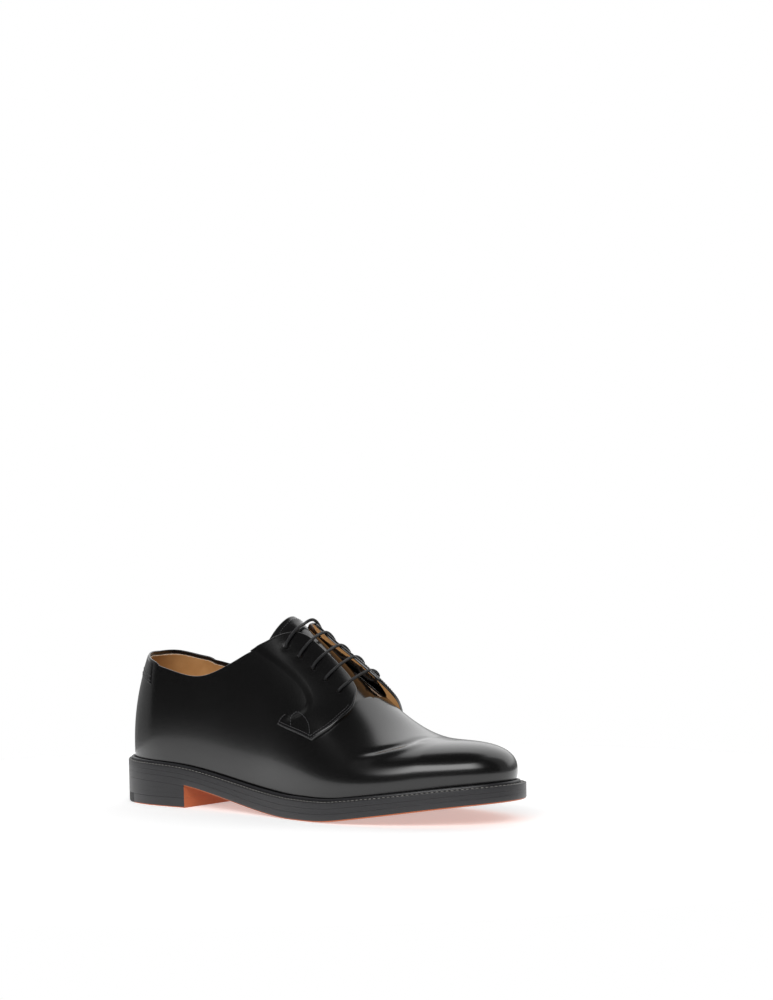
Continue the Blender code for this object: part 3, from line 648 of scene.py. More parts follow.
def nearest(points, line):
    shape = points.shape[:-1]
    p = points.reshape(-1, 3)
    a = line[:-1]
    d = line[1:] - a
    best = np.full(len(p), 1e9)
    where = np.zeros(len(p))
    for i in range(len(a)):
        t = np.clip((p - a[i]) @ d[i] / (d[i] @ d[i]), 0, 1)
        away = np.linalg.norm(p - a[i] - t[:, None] * d[i], axis=1)
        closer = away < best
        best = np.where(closer, away, best)
        where = np.where(closer, (i + t) / len(a), where)
    return best.reshape(shape), where.reshape(shape)


def folded(side, points):
    rise = np.zeros(points.shape[:-1])
    amount = np.zeros(points.shape[:-1])
    for which, depth, width, rows in FOLDS:
        if which != side:
            continue
        steps = np.linspace(0, 1, FOLD_POINTS)
        path = path_of(rows)(steps)
        line = last_point(side, station_at(path[:, 0]), np.clip(path[:, 1], 0, 1))
        away, where = nearest(points, line)
        strength = np.interp(where, steps, path[:, 2])
        share = np.exp(-(away / (width * 0.001))**2) * strength
        rise += share * depth * 0.001
        amount = np.maximum(amount, share)
    return rise, amount


# %% [markdown]
# ## The one-piece body
# The leather is a wall 1.2 mm thick along the last, with its top edge folded over into a round rim. It is
# open round the ankle and along the throat. A thinner wall inside it is the lining, which stops short of the
# rim. Both could be one solid with a bevel, but two closed skins let each have its own finish.

# %% Rows and columns of the body
SKIN = 0.0012
FILM = 0.0001
HIGH_SHARE = 0.72
VAMP_SHARE = 0.60
FOOT_BAND = 0.06
LINING_DROP = 0.012


def body_stations():
    near = THROAT_TO - 0.004
    return np.concatenate([
        np.linspace(0, 1, 57), np.linspace(1, THROAT_FROM, 81)[1:], np.linspace(THROAT_FROM, near, 31)[1:],
        np.linspace(near, THROAT_TO, 9)[1:], np.linspace(THROAT_TO, 2, 45)[1:], np.linspace(2, 3, 71)[1:]])


def rib_heights(side, station, low_rows, high_rows):
    end = rim(side, station)
    middle = np.interp(station, (THROAT_FROM, 2), (HIGH_SHARE * rim(side, THROAT_FROM), VAMP_SHARE))
    middle = HIGH_SHARE * end if station <= THROAT_FROM else middle
    low = np.linspace(0, middle, low_rows)
    return np.concatenate([low, middle + (end - middle) * np.linspace(0, 1, high_rows)[1:]])


print("the body has", 2 * len(body_stations()) - 2, "columns of points")


# %% One wall with a rolled rim
def shell(outer_lift, inner_lift, low_rows, high_rows, roll, drop=0.0):
    stations = body_stations()
    rings = [(-1, s) for s in stations] + [(1, s) for s in stations[::-1][1:-1]]
    columns = len(rings)
    count = low_rows + high_rows - 1
    heights = np.array([rib_heights(side, s, low_rows, high_rows) for side, s in rings]).T
    rims = np.array([rim(side, s) for side, s in rings])
    heights = np.minimum(heights, np.where(rims < 1, rims - drop, 1))
    outer = np.empty((count, columns, 3))
    inner = np.empty((count, columns, 3))
    fold_wear_and_painted_shade = np.zeros((count, columns))
    half = len(stations)
    for side, chosen in ((-1, slice(0, half)), (1, slice(half, None))):
        s = np.array([ring[1] for ring in rings[chosen]])[None, :] + 0 * heights[:, chosen]
        v = heights[:, chosen]
        place = last_point(side, s, v)
        normal = last_normal(side, s, v)
        rise, amount = folded(side, place)
        outer[:, chosen] = place + normal * (outer_lift + rise)[..., None]
        inner[:, chosen] = place + normal * (inner_lift + rise)[..., None]
        fold_wear_and_painted_shade[:, chosen] = amount
    # the foot of the wall stands level on the welt
    settle = np.clip(1 - heights / FOOT_BAND, 0, 1)
    floor_z = np.array([last_point(side, s, 0.0)[2] for side, s in rings])
    for wall in (outer, inner):
        wall[:, :, 2] += (floor_z - wall[0, :, 2]) * settle
    arc = np.linspace(0, math.pi, roll + 2)[1:-1]
    up = outer[-1] - outer[-2]
    up /= np.linalg.norm(up, axis=-1, keepdims=True) + 1e-12
    middle = (outer[-1] + inner[-1]) / 2
    reach = (outer[-1] - inner[-1]) / 2
    size = np.linalg.norm(reach, axis=-1, keepdims=True)
    lip = np.array([middle + reach * math.cos(a) + up * size * math.sin(a) for a in arc])
    grid = np.concatenate([outer, lip, inner[::-1]])
    fold_wear_and_painted_shade = np.concatenate([fold_wear_and_painted_shade, np.zeros((roll, columns)), fold_wear_and_painted_shade[::-1]])
    rows = len(grid)
    faces = np.array(grid_faces(rows, columns, wrap=True)).reshape(rows - 1, columns, 4)
    # ahead of the throat both sides meet on the ridge, so there is no rim to roll
    closed = rims >= 1
    both = closed & np.roll(closed, -1)
    keep = np.ones((rows - 1, columns), bool)
    keep[count - 1:count + roll, both] = False
    faces = faces[keep].tolist()
    last = (rows - 1) * columns
    faces += [[j, (j + 1) % columns, last + (j + 1) % columns, last + j] for j in range(columns)]
    return grid, faces, fold_wear_and_painted_shade, count


# %% Body and lining
def body():
    grid, faces, fold_wear_and_painted_shade, _ = shell(0, -SKIN, low_rows=44, high_rows=36, roll=7)
    return make_piece("upper_body", grid.reshape(-1, 3), faces, BLACK_LEATHER, ("upper",),
                      marks={"crease": fold_wear_and_painted_shade})


def lining():
    grid, faces, _, count = shell(-SKIN - FILM, -WALL, low_rows=24, high_rows=20, roll=3, drop=LINING_DROP)
    lip = np.zeros(grid.shape[:2])
    lip[count - 1:-count + 1] = 1
    return make_piece("quarter_lining", grid.reshape(-1, 3), faces, LINING,
                      marks={"lip": lip})


body()
lining()

# %% [markdown]
# ## Plates of leather over the last
# Facings, their linings and the back strap are flat pieces laid over the last. Each starts as a grid between
# its four edges, a Coons patch, and its thickness runs down to nothing at its edges: quickly and round where
# the edge is turned or cut, slowly where the leather is skived thin and glued under its neighbour.

# %% A patch between four edges, and a plate with shaped edges
MEDIAL_SHIFT = -0.017
MEDIAL_FLARE_POWER = 2.2


def patch(top, bottom, rear, front, down, across):
    t, u = np.meshgrid(down, across, indexing="ij")
    t = t[..., None]
    u = u[..., None]
    curves = [path_of(rows) for rows in (top, bottom, rear, front)]
    over = curves[0](u[..., 0])
    under = curves[1](u[..., 0])
    behind = curves[2](t[..., 0])
    ahead = curves[3](t[..., 0])
    corners = [np.array(p) for p in (top[0], top[-1], bottom[0], bottom[-1])]
    flat = (1 - t) * ((1 - u) * corners[0] + u * corners[1]) + t * ((1 - u) * corners[2] + u * corners[3])
    return (1 - t) * over + t * under + (1 - u) * behind + u * ahead - flat


def edge_steps(count, first=0.0009):
    u = np.linspace(0, 1, count)
    ends = np.array([0, first, 3 * first, 6 * first, 10 * first])
    inner = ends[-1] + (1 - 2 * ends[-1]) * u
    return np.concatenate([ends[:-1], inner, 1 - ends[:-1][::-1]])


def facing_lift(side, uv):
    flare = LATERAL_FLARE if side < 0 else MEDIAL_FLARE
    near = np.clip((uv[..., 1] - 0.50) / 0.40, 0, 1)
    along = np.clip((uv[..., 0] - FLARE_FROM) / FLARE_OVER, 0, 1)
    return GAP + flare * eased(near) * eased(along) ** (1 if side < 0 else MEDIAL_FLARE_POWER)


def round_edge(away, radius):
    return np.sqrt(np.clip(1 - (1 - np.clip(away / radius, 0, 1))**2, 0, 1))


def plate_faces(rows, columns):
    n = rows * columns
    faces = grid_faces(rows, columns) + grid_faces(rows, columns, first=n)
    around = [(0, j) for j in range(columns)] + [(i, columns - 1) for i in range(1, rows)]
    around += [(rows - 1, j) for j in range(columns - 2, -1, -1)] + [(i, 0) for i in range(rows - 2, 0, -1)]
    ids = [i * columns + j for i, j in around]
    return faces + [[a, b, n + b, n + a] for a, b in zip(ids, ids[1:] + ids[:1])]


def on_last(side, uv, lift):
    share = uv[..., 0]
    if side > 0:
        # the inner facing sits a little further back, less so at its front
        share = share + MEDIAL_SHIFT * (1 - 0.6 * ramp(share, 0.60, 0.66)) * ramp(share, 0.40, 0.48)
    return lifted(side, station_at(share), uv[..., 1], lift)


print("the inner facing sits", round(-MEDIAL_SHIFT * LENGTH * 1000, 1), "mm further back")

# %% [markdown]
# ## The facings
# A derby's facings are flaps that lie on top of the vamp and open over the tongue. Each is held down at its
# front by a stitched tab. Towards the back the flap melts into the quarter along a faint raised seam.
# The eyelets are punched through it with a Boolean, as a shoemaker's punch does.

# %% Both facings with their linings
SEAM_SHARE = 0.78
SEAM_WIDTH = 0.0070
LINING_SKIN = 0.0006
CUT_EDGE = 0.0005
LINED_BAND = 0.0125
EYELET_SINK = 0.00035
EYELET_REACH = 0.0026
PUNCH_RADIUS = 0.00115


def facing(name, side):
    down = edge_steps(150, 0.0012)
    across = edge_steps(84, 0.0018)
    uv = patch(FACING_TOP, FACING_BOTTOM, FACING_REAR_EDGE, FACING_FRONT_EDGE, down, across)
    flat = on_last(side, uv, 0 * uv[..., 0])
    t = np.linspace(0, 1, 240)
    edges = {"top": FACING_TOP, "bottom": FACING_BOTTOM, "rear": FACING_REAR_EDGE, "front": FACING_FRONT_EDGE}
    lines = {key: on_last(side, path_of(rows)(t), 0 * t) for key, rows in edges.items()}
    # the upper part of the rear edge is the soft seam, and the lower part is the tab's cut edge
    split = int(SEAM_SHARE * len(t))
    away = {key: nearest(flat, line)[0] for key, line in lines.items()}
    seam = nearest(flat, lines["rear"][:split])[0]
    tab = nearest(flat, lines["rear"][split - 1:])[0]
    share = ramp(seam, 0, SEAM_WIDTH)
    share = share * round_edge(tab, CUT_EDGE) * round_edge(away["bottom"], CUT_EDGE)
    share = share * round_edge(away["front"], 2 * CUT_EDGE) * round_edge(away["top"], 0.0008)
    wall = FACING_REAR + (FACING_FRONT - FACING_REAR) * eased(across[None, :]) + 0 * uv[..., 0]
    sink = (GAP + 0.00015) * (1 - ramp(seam, 0, SEAM_WIDTH))
    low = facing_lift(side, uv) - sink
    skin = LINING_SKIN * ramp(away["front"], 0.0002, 0.0012) * ramp(seam, 0.002, 0.006)
    high = low + np.maximum(wall * share, 0.00004)
    # the leather is drawn in a little round each eyelet
    for place, v in EYELETS:
        centre = on_last(side, np.array([[place, v]]), np.zeros(1))[0]
        away_eye = np.linalg.norm(flat - centre, axis=-1)
        high = high - EYELET_SINK * np.exp(-(away_eye / EYELET_REACH)**2)
    under = on_last(side, uv, low + skin * 0.9)
    points = np.concatenate([under.reshape(-1, 3), on_last(side, uv, high).reshape(-1, 3)])
    faces = plate_faces(*uv.shape[:2])
    # a camel lining shows on the underside, in a band along the front edge, with painted light: its finish is
    # the lining made lighter and glowing, as though lit in the shade under the flap
    lined = (away["front"] > 0.0008) & (away["front"] < LINED_BAND) & (away["top"] > 0.0008)
    lined &= (away["bottom"] > 0.004) & (seam > 0.008) & (tab > 0.004)
    lined = lined[:-1, :-1].ravel().astype(int).tolist()
    return make_piece(name, points, faces, BLACK_LEATHER,
                      ("facing_lateral" if side < 0 else "facing_medial",),
                      second=(FACING_LINING_PAINTED_LIGHT, lined + [0] * (len(faces) - len(lined))))


# %% Eyelets
def eyelet_place(side, share, v):
    spots = np.array([[share, v], [share, v - 0.01], [share, v + 0.01]])
    centre, low, high = on_last(side, spots, facing_lift(side, spots))
    up = high - low
    return centre, unit(np.cross(up, np.cross(last_normal(side, station_at(share), np.array(v)), up)))


def punch(thing, side):
    work = bmesh.new()
    for share, v in EYELETS:
        centre, axis = eyelet_place(side, share, v)
        turned = Vector(axis).to_track_quat("Z", "Y").to_matrix().to_4x4()
        turned.translation = Vector(centre - CENTRE)
        bmesh.ops.create_cone(work, cap_ends=True, segments=32, radius1=PUNCH_RADIUS, radius2=PUNCH_RADIUS,
                              depth=0.012, matrix=turned)
    mesh = bpy.data.meshes.new("punches")
    work.to_mesh(mesh)
    work.free()
    cutter = bpy.data.objects.new("punches", mesh)
    bpy.context.scene.collection.objects.link(cutter)
    cut = thing.modifiers.new("eyelets", "BOOLEAN")
    cut.operation = "DIFFERENCE"
    cut.solver = "EXACT"
    cut.object = cutter
    with bpy.context.temp_override(object=thing, active_object=thing, selected_objects=[thing]):
        bpy.ops.object.modifier_apply(modifier="eyelets")
    bpy.data.objects.remove(cutter)
    print(thing.name, "now has", len(thing.data.polygons), "faces")


facing_covers = [facing("facing_cover_lateral", -1), facing("facing_cover_medial", 1)]
for cover, cover_side in zip(facing_covers, (-1, 1)):
    punch(cover, cover_side)

# %% [markdown]
# ## The sole
# A welted sole is a stack: the welt, a strip of leather sewn round the upper, then the midsole and the
# outsole. Its edge is trimmed as one, inked black and burnished, and a thin line of the outsole stays tan
# below the ink. Each layer is a set of outlines drawn in from the sole's edge by a little, one above the
# other. A solid with a bevel would do, but outlines follow the sole's spring and waist by themselves.

# %% A stack of outlines
SHARP_EDGE = 12


def outlines(t, rings):
    layers = []
    for width, height in rings:
        xy = inset(t, width(t) if callable(width) else width)
        layers.append(np.column_stack([xy, height(xy[:, 0])]))
    return np.array(layers)


def stack(name, xs, rings, finish, replaces, tan_bands=0, second=None, breast=False, tan_from=0.0):
    n = len(xs)
    grid = outlines(np.concatenate([turn_of(-1, xs), turn_of(1, xs)[::-1]]), rings)
    faces = grid_faces(len(rings), 2 * n, wrap=True)
    tan = []
    for k in range(len(faces)):
        band, place = divmod(k, 2 * n)
        at_breast = breast and place == n - 1
        tan.append(int((band < tan_bands and grid[0, place, 0] > tan_from) or at_breast))
    for base in (0, (len(rings) - 1) * 2 * n):
        for i in range(n - 1):
            faces.append([base + i, base + i + 1, base + 2 * n - 2 - i, base + 2 * n - 1 - i])
            tan.append(int(base == 0 and tan_bands > 0))
    return make_piece(name, grid.reshape(-1, 3), faces, finish, replaces, sharp=SHARP_EDGE,
                      second=(second, tan) if second else None)


def x_steps(start, end, count):
    return start + (end - start) * (1 - np.cos(np.linspace(0, math.pi, count))) / 2


def above(share, more=0.0):
    return lambda x: sole_height(x, share) + more


# %% Outsole and midsole: distance in from the edge, and height over the ground
SOLE_X = x_steps(EDGE_X.min(), EDGE_X.max(), 300)
LOWER_EDGE = (
    (0.0018, 0.0), (0.0011, 0.00008), (0.0006, 0.0003), (0.0002, 0.0008), (0.00008, 0.0012), (0.0, 0.0016),
)
TAN_FROM = HEEL_BREAST - 0.001


def ahead_of_heel(width):
    return lambda t: width * ramp(edge(t)[..., 0], HEEL_BREAST - 0.002, HEEL_BREAST + 0.001)


trimmed = [(ahead_of_heel(w), above(0.0, rise)) for w, rise in LOWER_EDGE]
trimmed += [(0.0, above(OUTSOLE_SHARE, -0.0001)), (0.00006, above(OUTSOLE_SHARE))]
stack("outsole_leather", SOLE_X, trimmed, EDGE, ("outsole",),
      tan_bands=3, second=TAN_SOLE, tan_from=TAN_FROM)
stack("midsole_leather", SOLE_X, (
    (0.00008, above(OUTSOLE_SHARE, 0.00002)), (0.0, above(OUTSOLE_SHARE, 0.00012)),
    (0.0, above(MIDSOLE_SHARE, -0.0001)), (0.00008, above(MIDSOLE_SHARE))),
    EDGE, ("midsole",))

# %% [markdown]
# ## The welt
# A storm welt has a rounded bead that presses against the foot of the upper, then a narrow flat shelf with
# a row of grey stitches in a shallow groove. Its section is a closed loop of points, carried round the
# outline.

# %% Welt with its bead and groove
STITCH_INSET = 0.0016
EDGE_RADIUS = 0.0006
GROOVE = ((-0.0005, 0.0), (-0.00028, -0.00022), (0.00028, -0.00022), (0.0005, 0.0))
WELT_SHARP = 18


def stitch_inset(t):
    return np.minimum(0.42 * (shelf(t) - 0.0026), STITCH_INSET)


def welt():
    under, face = above(MIDSOLE_SHARE, 0.00005), above(1.0)
    up = lambda more: (lambda x: face(x) + more)
    outer_foot = lambda t: np.maximum(shelf(t) - 0.0029, 0.0011)
    middle = lambda t: (outer_foot(t) + shelf(t) - 0.0007) / 2
    rings = [(0.00008, under), (0.0, lambda x: under(x) + 0.00012), (0.0, up(-0.0009))]
    # the upper corner of the edge is rounded
    for angle in np.linspace(0, math.pi / 2, 7)[1:]:
        rings.append((EDGE_RADIUS * (1 - math.cos(angle)), up(EDGE_RADIUS * (math.sin(angle) - 1))))
    for away, deep in GROOVE:
        rings.append((lambda t, a=away: stitch_inset(t) + a, up(deep)))
    # the bead is half a round, a little squared
    for angle in np.linspace(0, math.pi, 13):
        rings.append((lambda t, c=math.cos(angle): middle(t) - c * (middle(t) - outer_foot(t)),
                      up(BEAD_HEIGHT * math.sin(angle)**0.8)))
    rings += [(WELT_RING, face), (WELT_RING, under)]
    t = np.concatenate([turn_of(-1, SOLE_X), turn_of(1, SOLE_X)[::-1][1:-1]])
    loops = outlines(t, rings + rings[:1])
    return make_piece("welt_strip", loops.reshape(-1, 3), grid_faces(len(loops), len(t), wrap=True),
                      EDGE, ("welt",), sharp=WELT_SHARP)


welt()

# %% [markdown]
# ## The heel
# The heel is stacked from leather lifts under the seat, with a top piece that wears against the ground and a
# rubber corner at the back. Its side is inked with the sole's edge, and its front, the breast, stays tan.

# %% Heel
def heel_steps(start, end, n):
    return start + (end - start) * (1 - np.cos(np.linspace(0, math.pi / 2, n)))


def level(z):
    return lambda x: np.full(np.shape(x), z)


def lift(share, more=0.0):
    return lambda x: TOP_PIECE + share * (ground(x) - 0.00005 - TOP_PIECE) + more


BACK = EDGE_X.min()
lifts = [(0.00012, level(TOP_PIECE + 0.00004)), (0.0, level(TOP_PIECE + 0.0003))]
# a fine line is left where one lift meets the next
for joint in (0.33, 0.66):
    lifts += [(0.0, lift(joint, -0.00012)), (0.00003, lift(joint)), (0.0, lift(joint, 0.00012))]
lifts += [(0.0, lift(1.0, -0.0001)), (0.00005, lift(1.0))]
stack("heel_lift_stack", heel_steps(BACK, HEEL_BREAST, 120), lifts, EDGE, ("heel_lifts",),
      second=TAN_SOLE, breast=True)
stack("heel_top_lift", np.linspace(INSERT_LENGTH + 0.0001, HEEL_BREAST, 60), (
    (0.0006, level(0.0)), (0.0001, level(0.0006)), (0.0, level(0.0012)), (0.0, level(TOP_PIECE - 0.0002)),
    (0.00012, level(TOP_PIECE))),
    EDGE, ("heel_top_piece",), tan_bands=1, second=TAN_SOLE, breast=True)
stack("heel_corner", heel_steps(BACK, INSERT_LENGTH - 0.0001, 60), (
    (0.0006, level(0.0)), (0.0001, level(0.0006)), (0.00005, level(0.0012)),
    (0.00005, level(TOP_PIECE - 0.0002)), (0.0002, level(TOP_PIECE))),
    RUBBER, ("heel_rubber_insert",))

# %% [markdown]
# ## The footbed
# Inside lies a leather sock over the insole. It is a thin plate that dips a little in the middle and turns up
# towards the lining.

# %% Footbed
SOCK_DIP = 0.0012
SOCK_GAP = 0.0009


def footbed():
    xs = x_steps(EDGE_X.min(), EDGE_X.max(), 160)
    t = np.concatenate([turn_of(-1, xs), turn_of(1, xs)[::-1]])
    base = above(MIDSOLE_SHARE, GAP)
    top = above(1.0, GAP)
    edge_in = shelf(t) + WALL + SOCK_GAP
    half = np.linalg.norm(inset(t, edge_in) - inset(t, edge_in)[::-1], axis=1) / 2
    # it plugs the welt's opening, and spreads over the welt up to the lining
    grid = list(outlines(t, (
        (WELT_RING + GAP, base), (WELT_RING + GAP, top), (edge_in, top),
        (edge_in, lambda x: top(x) + INSOLE_WALL * 0.9), (edge_in + 0.0006, lambda x: top(x) + INSOLE_WALL))))
    n = len(xs)
    rim_row = grid[-1]
    centre = (rim_row + rim_row[::-1]) / 2
    for share in (0.93, 0.85, 0.75, 0.62, 0.48, 0.32, 0.16, 0.0):
        row = centre + (rim_row - centre) * share
        row[:, 2] -= SOCK_DIP * (1 - share**2) * np.clip(half / 0.02, 0, 1)
        grid.append(row)
    faces = grid_faces(len(grid), 2 * n, wrap=True)
    faces += [[i, i + 1, 2 * n - 2 - i, 2 * n - 1 - i] for i in range(n - 1)]
    return make_piece("leather_footbed", np.array(grid).reshape(-1, 3), faces, LINING,
                      ("insole",))


footbed()

# %% [markdown]
# ## The tongue
# The tongue is a soft flap under both facings. It stands a little above them, with a turned edge and one row
# of stitches round its top.

# %% Tongue
TONGUE_REACH = TONGUE[-1][0] - TONGUE[0][0]
TONGUE_MARGIN = 0.0032
TONGUE_ROLL = 0.0004


def tongue_line(share, across):
    half = table(TONGUE)(share)[0] * BALL_WIDTH
    height = np.zeros(len(across))
    v = np.linspace(0.3, 1, 200)
    back = TONGUE_CORNER * across**2 * (TONGUE[-1][0] - share) / TONGUE_REACH
    for side in (-1, 1):
        rib = lifted(side, np.full(len(v), station_at(share)), v, -TONGUE_DEPTH)
        off = side * (rib[:, 1] - section(share)[0] * BALL_WIDTH)
        chosen = across * side >= 0
        height[chosen] = np.interp(-np.abs(across[chosen]) * half, -off, v)
    return station_at(share - back), height


def tongue_points(share, across, depth):
    station, height = tongue_line(share, across)
    points = np.empty((len(across), 3))
    for side in (-1, 1):
        chosen = across * side >= 0
        points[chosen] = lifted(side, station[chosen], height[chosen], -depth[chosen])
    return points


def tongue():
    shares = TONGUE[0][0] + TONGUE_REACH * np.linspace(0, 1, 90)**1.3
    across = np.sin(np.linspace(-1, 1, 61) * math.pi / 2)
    high, low_side = [], []
    for share in shares:
        half = table(TONGUE)(share)[0] * BALL_WIDTH
        away = np.minimum((1 - np.abs(across)) * half, (share - shares[0]) * LENGTH)
        thick = TONGUE_WALL * round_edge(away, 0.0010)
        # a roll just inside the stitches
        roll = TONGUE_ROLL * np.exp(-((away - 0.0036) / 0.0012)**2) * ramp(-share, -0.52, -0.48)
        high.append(tongue_points(share, across, TONGUE_DEPTH + TONGUE_WALL / 2 - thick / 2 - roll))
        low_side.append(tongue_points(share, across, TONGUE_DEPTH + TONGUE_WALL / 2 + thick / 2 + 0.00002))
    points = np.concatenate([np.array(low_side).reshape(-1, 3), np.array(high).reshape(-1, 3)])
    return make_piece("tongue_flap", points, plate_faces(len(shares), len(across)), TONGUE_LEATHER,
                      ("tongue",))


tongue()

# %% [markdown]
# ## The back strap
# A strip of the same leather covers the seam at the back of the heel. Its top is turned in with the collar,
# its sides are skived thin, and two rows of stitches hold its foot.

# %% Back strap
STRAP_SKIN = 0.00035
# about one share of a rib's height in metres, and one station round the heel
RIB_METRES = 0.20
STATION_METRES = 0.055


def strap_outline(a):
    side = -1 if a < 0 else 1
    station = abs(a) * STRAP_SIDE
    foot = STRAP_FOOT + (STRAP_CORNER - STRAP_FOOT) * a * a
    return side, station, foot, rim(side, station) - STRAP_MARGIN * 0.4


def strap():
    across = np.sin(np.linspace(-1, 1, 81) * math.pi / 2)
    up = edge_steps(40, 0.003)
    low_side, high = np.empty((len(up), len(across), 3)), np.empty((len(up), len(across), 3))
    for j, a in enumerate(across):
        side, station, foot, top = strap_outline(a)
        v = foot + (top - foot) * up
        from_side = np.full(len(v), (1 - abs(a)) * STRAP_SIDE * STATION_METRES)
        rise = STRAP_SKIN * round_edge((v - foot) * RIB_METRES, 0.0004)
        rise = rise * ramp(from_side, 0, 0.0050) * ramp((top - v) * RIB_METRES, 0, 0.0010)
        s = np.full(len(v), station)
        low_side[:, j] = lifted(side, s, v, -0.0001)
        high[:, j] = lifted(side, s, v, -0.00005 + rise)
    points = np.concatenate([low_side.reshape(-1, 3), high.reshape(-1, 3)])
    return make_piece("heel_strap", points, plate_faces(len(up), len(across)), BLACK_LEATHER,
                      ("back_strap",))


strap()

# %% [markdown]
# ## The lace
# One thin waxed lace runs through all ten eyelets. It crosses the throat in five straight bars, and its ends
# are tucked away under the facings, so no bow shows. Its line is a smooth curve through the eyelets, and the
# tube is swept along it.

# %% Route of the lace
# heights up the rib: where a bar leaves the facing, and its middle over the throat
BAR_BEND = 0.79
BAR_MIDDLE = 0.875
IN_EYELET = 0.0006


def bar_point(side, share, v, more=0.0):
    uv = np.array([[share, v]])
    return on_last(side, uv, facing_lift(side, uv) + FACING_FRONT * 0.92 + LACE_RADIUS * 0.75 + more)[0]


def lace_route():
    route = []
    for i, (share, v) in enumerate(EYELETS):
        sides = (1, -1) if i % 2 == 0 else (-1, 1)
        for k, side in enumerate(sides):
            centre, axis = eyelet_place(side, share, v)
            under = centre - axis * (LACE_RADIUS + 0.0004)
            rising = bar_point(side, share, v + 0.02) - bar_point(side, share, v)
            over = centre + axis * (FACING_FRONT + LACE_RADIUS * 0.55) + rising * 0.3
            if k == 0:
                if i:
                    route.append(under)
                route += [centre + axis * IN_EYELET, over, bar_point(side, share, BAR_BEND)]
                # the first bar is pulled down over the tongue
                lower = -0.0008 if i else -0.0030
                ends = [bar_point(which, share, BAR_MIDDLE, lower) for which in (side, -side)]
                route += [(ends[0] + ends[1]) / 2, bar_point(-side, share, BAR_BEND)]
            else:
                route += [over, centre + axis * IN_EYELET]
                if i < len(EYELETS) - 1:
                    route.append(under)
    return np.array(route)


print("the lace's route has", len(lace_route()), "points")


# %% Lace
def tube(centres, radius, sides):
    count = len(centres)
    way = unit(np.gradient(centres, axis=0))
    up = unit(np.cross(way[0], (0, 0, 1.0)))
    angle = 2 * math.pi * np.arange(sides) / sides
    points = np.empty((count, sides, 3))
    for i in range(count):
        # each ring keeps the turn of the one before, so the tube doesn't twist
        up = unit(up - way[i] * (up @ way[i]))
        other = np.cross(way[i], up)
        points[i] = centres[i] + radius[i] * (np.cos(angle)[:, None] * up + np.sin(angle)[:, None] * other)
    faces = grid_faces(count, sides, wrap=True)
    faces += [list(range(sides)), list(range((count - 1) * sides, count * sides))]
    return points.reshape(-1, 3), faces


LACE_SMOOTHING = 14
LACE_SIDES = 14
BRAID = 0.0016


def lace():
    route = lace_route()
    t = run_along(route, 0.5)
    centres = spline(t / t[-1], route)(np.linspace(0, 1, 900))
    # a taut lace rounds off its bends
    for _ in range(LACE_SMOOTHING):
        centres[1:-1] = (centres[:-2] + 2 * centres[1:-1] + centres[2:]) / 4
    run = run_along(centres)
    print("lace:", round(run[-1] * 1000), "mm")
    # the braid swells and narrows a little along the cord
    radius = LACE_RADIUS * (0.88 + 0.05 * np.cos(run / BRAID * 2 * math.pi))
    points, faces = tube(centres, radius, LACE_SIDES)
    return make_piece("waxed_lace", points, faces, LACE, ("lace",))


lace()

# %% [markdown]
# ## The stitches
# Each stitch is a short bead of thread that sinks into the leather at both ends. Rows of them follow a line
# at a steady pitch. The same small shape is repeated along every row, and a row is one mesh.

# %% Rows of stitches: pitch, length, width and height of one stitch, and its thread
WELT_STITCH = (0.0030, 0.0023, 0.0008, 0.00042, GREY_THREAD)
UPPER_STITCH = (0.0018, 0.0014, 0.00055, 0.00032, BLACK_THREAD)


def stitch_row(name, line, normals, stitch):
    pitch, length, width, height, thread = stitch
    run = run_along(line)
    middles = np.arange(pitch / 2, run[-1], pitch)
    points, faces = [], []
    profile = np.array([-1, -0.72, -0.3, 0.3, 0.72, 1])
    size = np.array([0.25, 0.75, 1, 1, 0.75, 0.25])
    ring = np.linspace(0, 2 * math.pi, 7)[:-1]
    for m in middles:
        at = [np.array([np.interp(m + length / 2 * p, run, axis) for axis in line.T]) for p in profile]
        n = np.array([np.interp(m, run, axis) for axis in normals.T])
        way = unit(at[-1] - at[0])
        side = unit(np.cross(n, way))
        n = np.cross(way, side)
        first = len(points)
        for centre, k in zip(at, size):
            for a in ring:
                rise = height * (k * math.sin(a) - (1 - k) * 0.9)
                points.append(centre + side * (width / 2 * k * math.cos(a)) + n * rise)
        faces += grid_faces(len(profile), len(ring), first=first, wrap=True)
        end = len(points) - len(ring)
        faces += [[start + i for i in range(len(ring))] for start in (first, end)]
    return make_piece(name, points, faces, thread, weld=1e-9)


def welt_stitches():
    t = ROUND[:-1]
    xy = inset(t, stitch_inset(t))
    line = np.column_stack([xy, sole_height(xy[:, 0]) + 0.00005])
    line = np.vstack([line, line[:1]])
    normals = np.tile((0, 0, 1.0), (len(line), 1))
    return stitch_row("welt_stitching", line, normals, WELT_STITCH)


welt_stitches()


# %% Stitches of the facings
def inward(side, rows, distance, start=0.0, end=1.0, inside=(0.55, 0.60), count=160):
    uv = path_of(rows)(np.linspace(start, end, count))
    zero = np.zeros(count)
    flat = on_last(side, uv, zero)
    way = unit(np.gradient(flat, axis=0))
    sideways = np.cross(last_normal(side, station_at(uv[:, 0]), uv[:, 1]), way)
    step = 1e-3
    du = (on_last(side, uv + (step, 0), zero) - flat) / step
    dv = (on_last(side, uv + (0, step), zero) - flat) / step
    a, b, c = (du * du).sum(1), (du * dv).sum(1), (dv * dv).sum(1)
    p, q = (sideways * du).sum(1), (sideways * dv).sum(1)
    move = np.column_stack([c * p - b * q, a * q - b * p]) / (a * c - b * b)[:, None] * distance
    middle = count // 2
    if move[middle] @ (np.array(inside) - uv[middle]) < 0:
        move = -move
    return uv + move


TAB_ARC = ((0.556, 0.302), (0.551, 0.335), (0.558, 0.378), (0.573, 0.400), (0.590, 0.396), (0.602, 0.372),
           (0.607, 0.340), (0.605, 0.316))


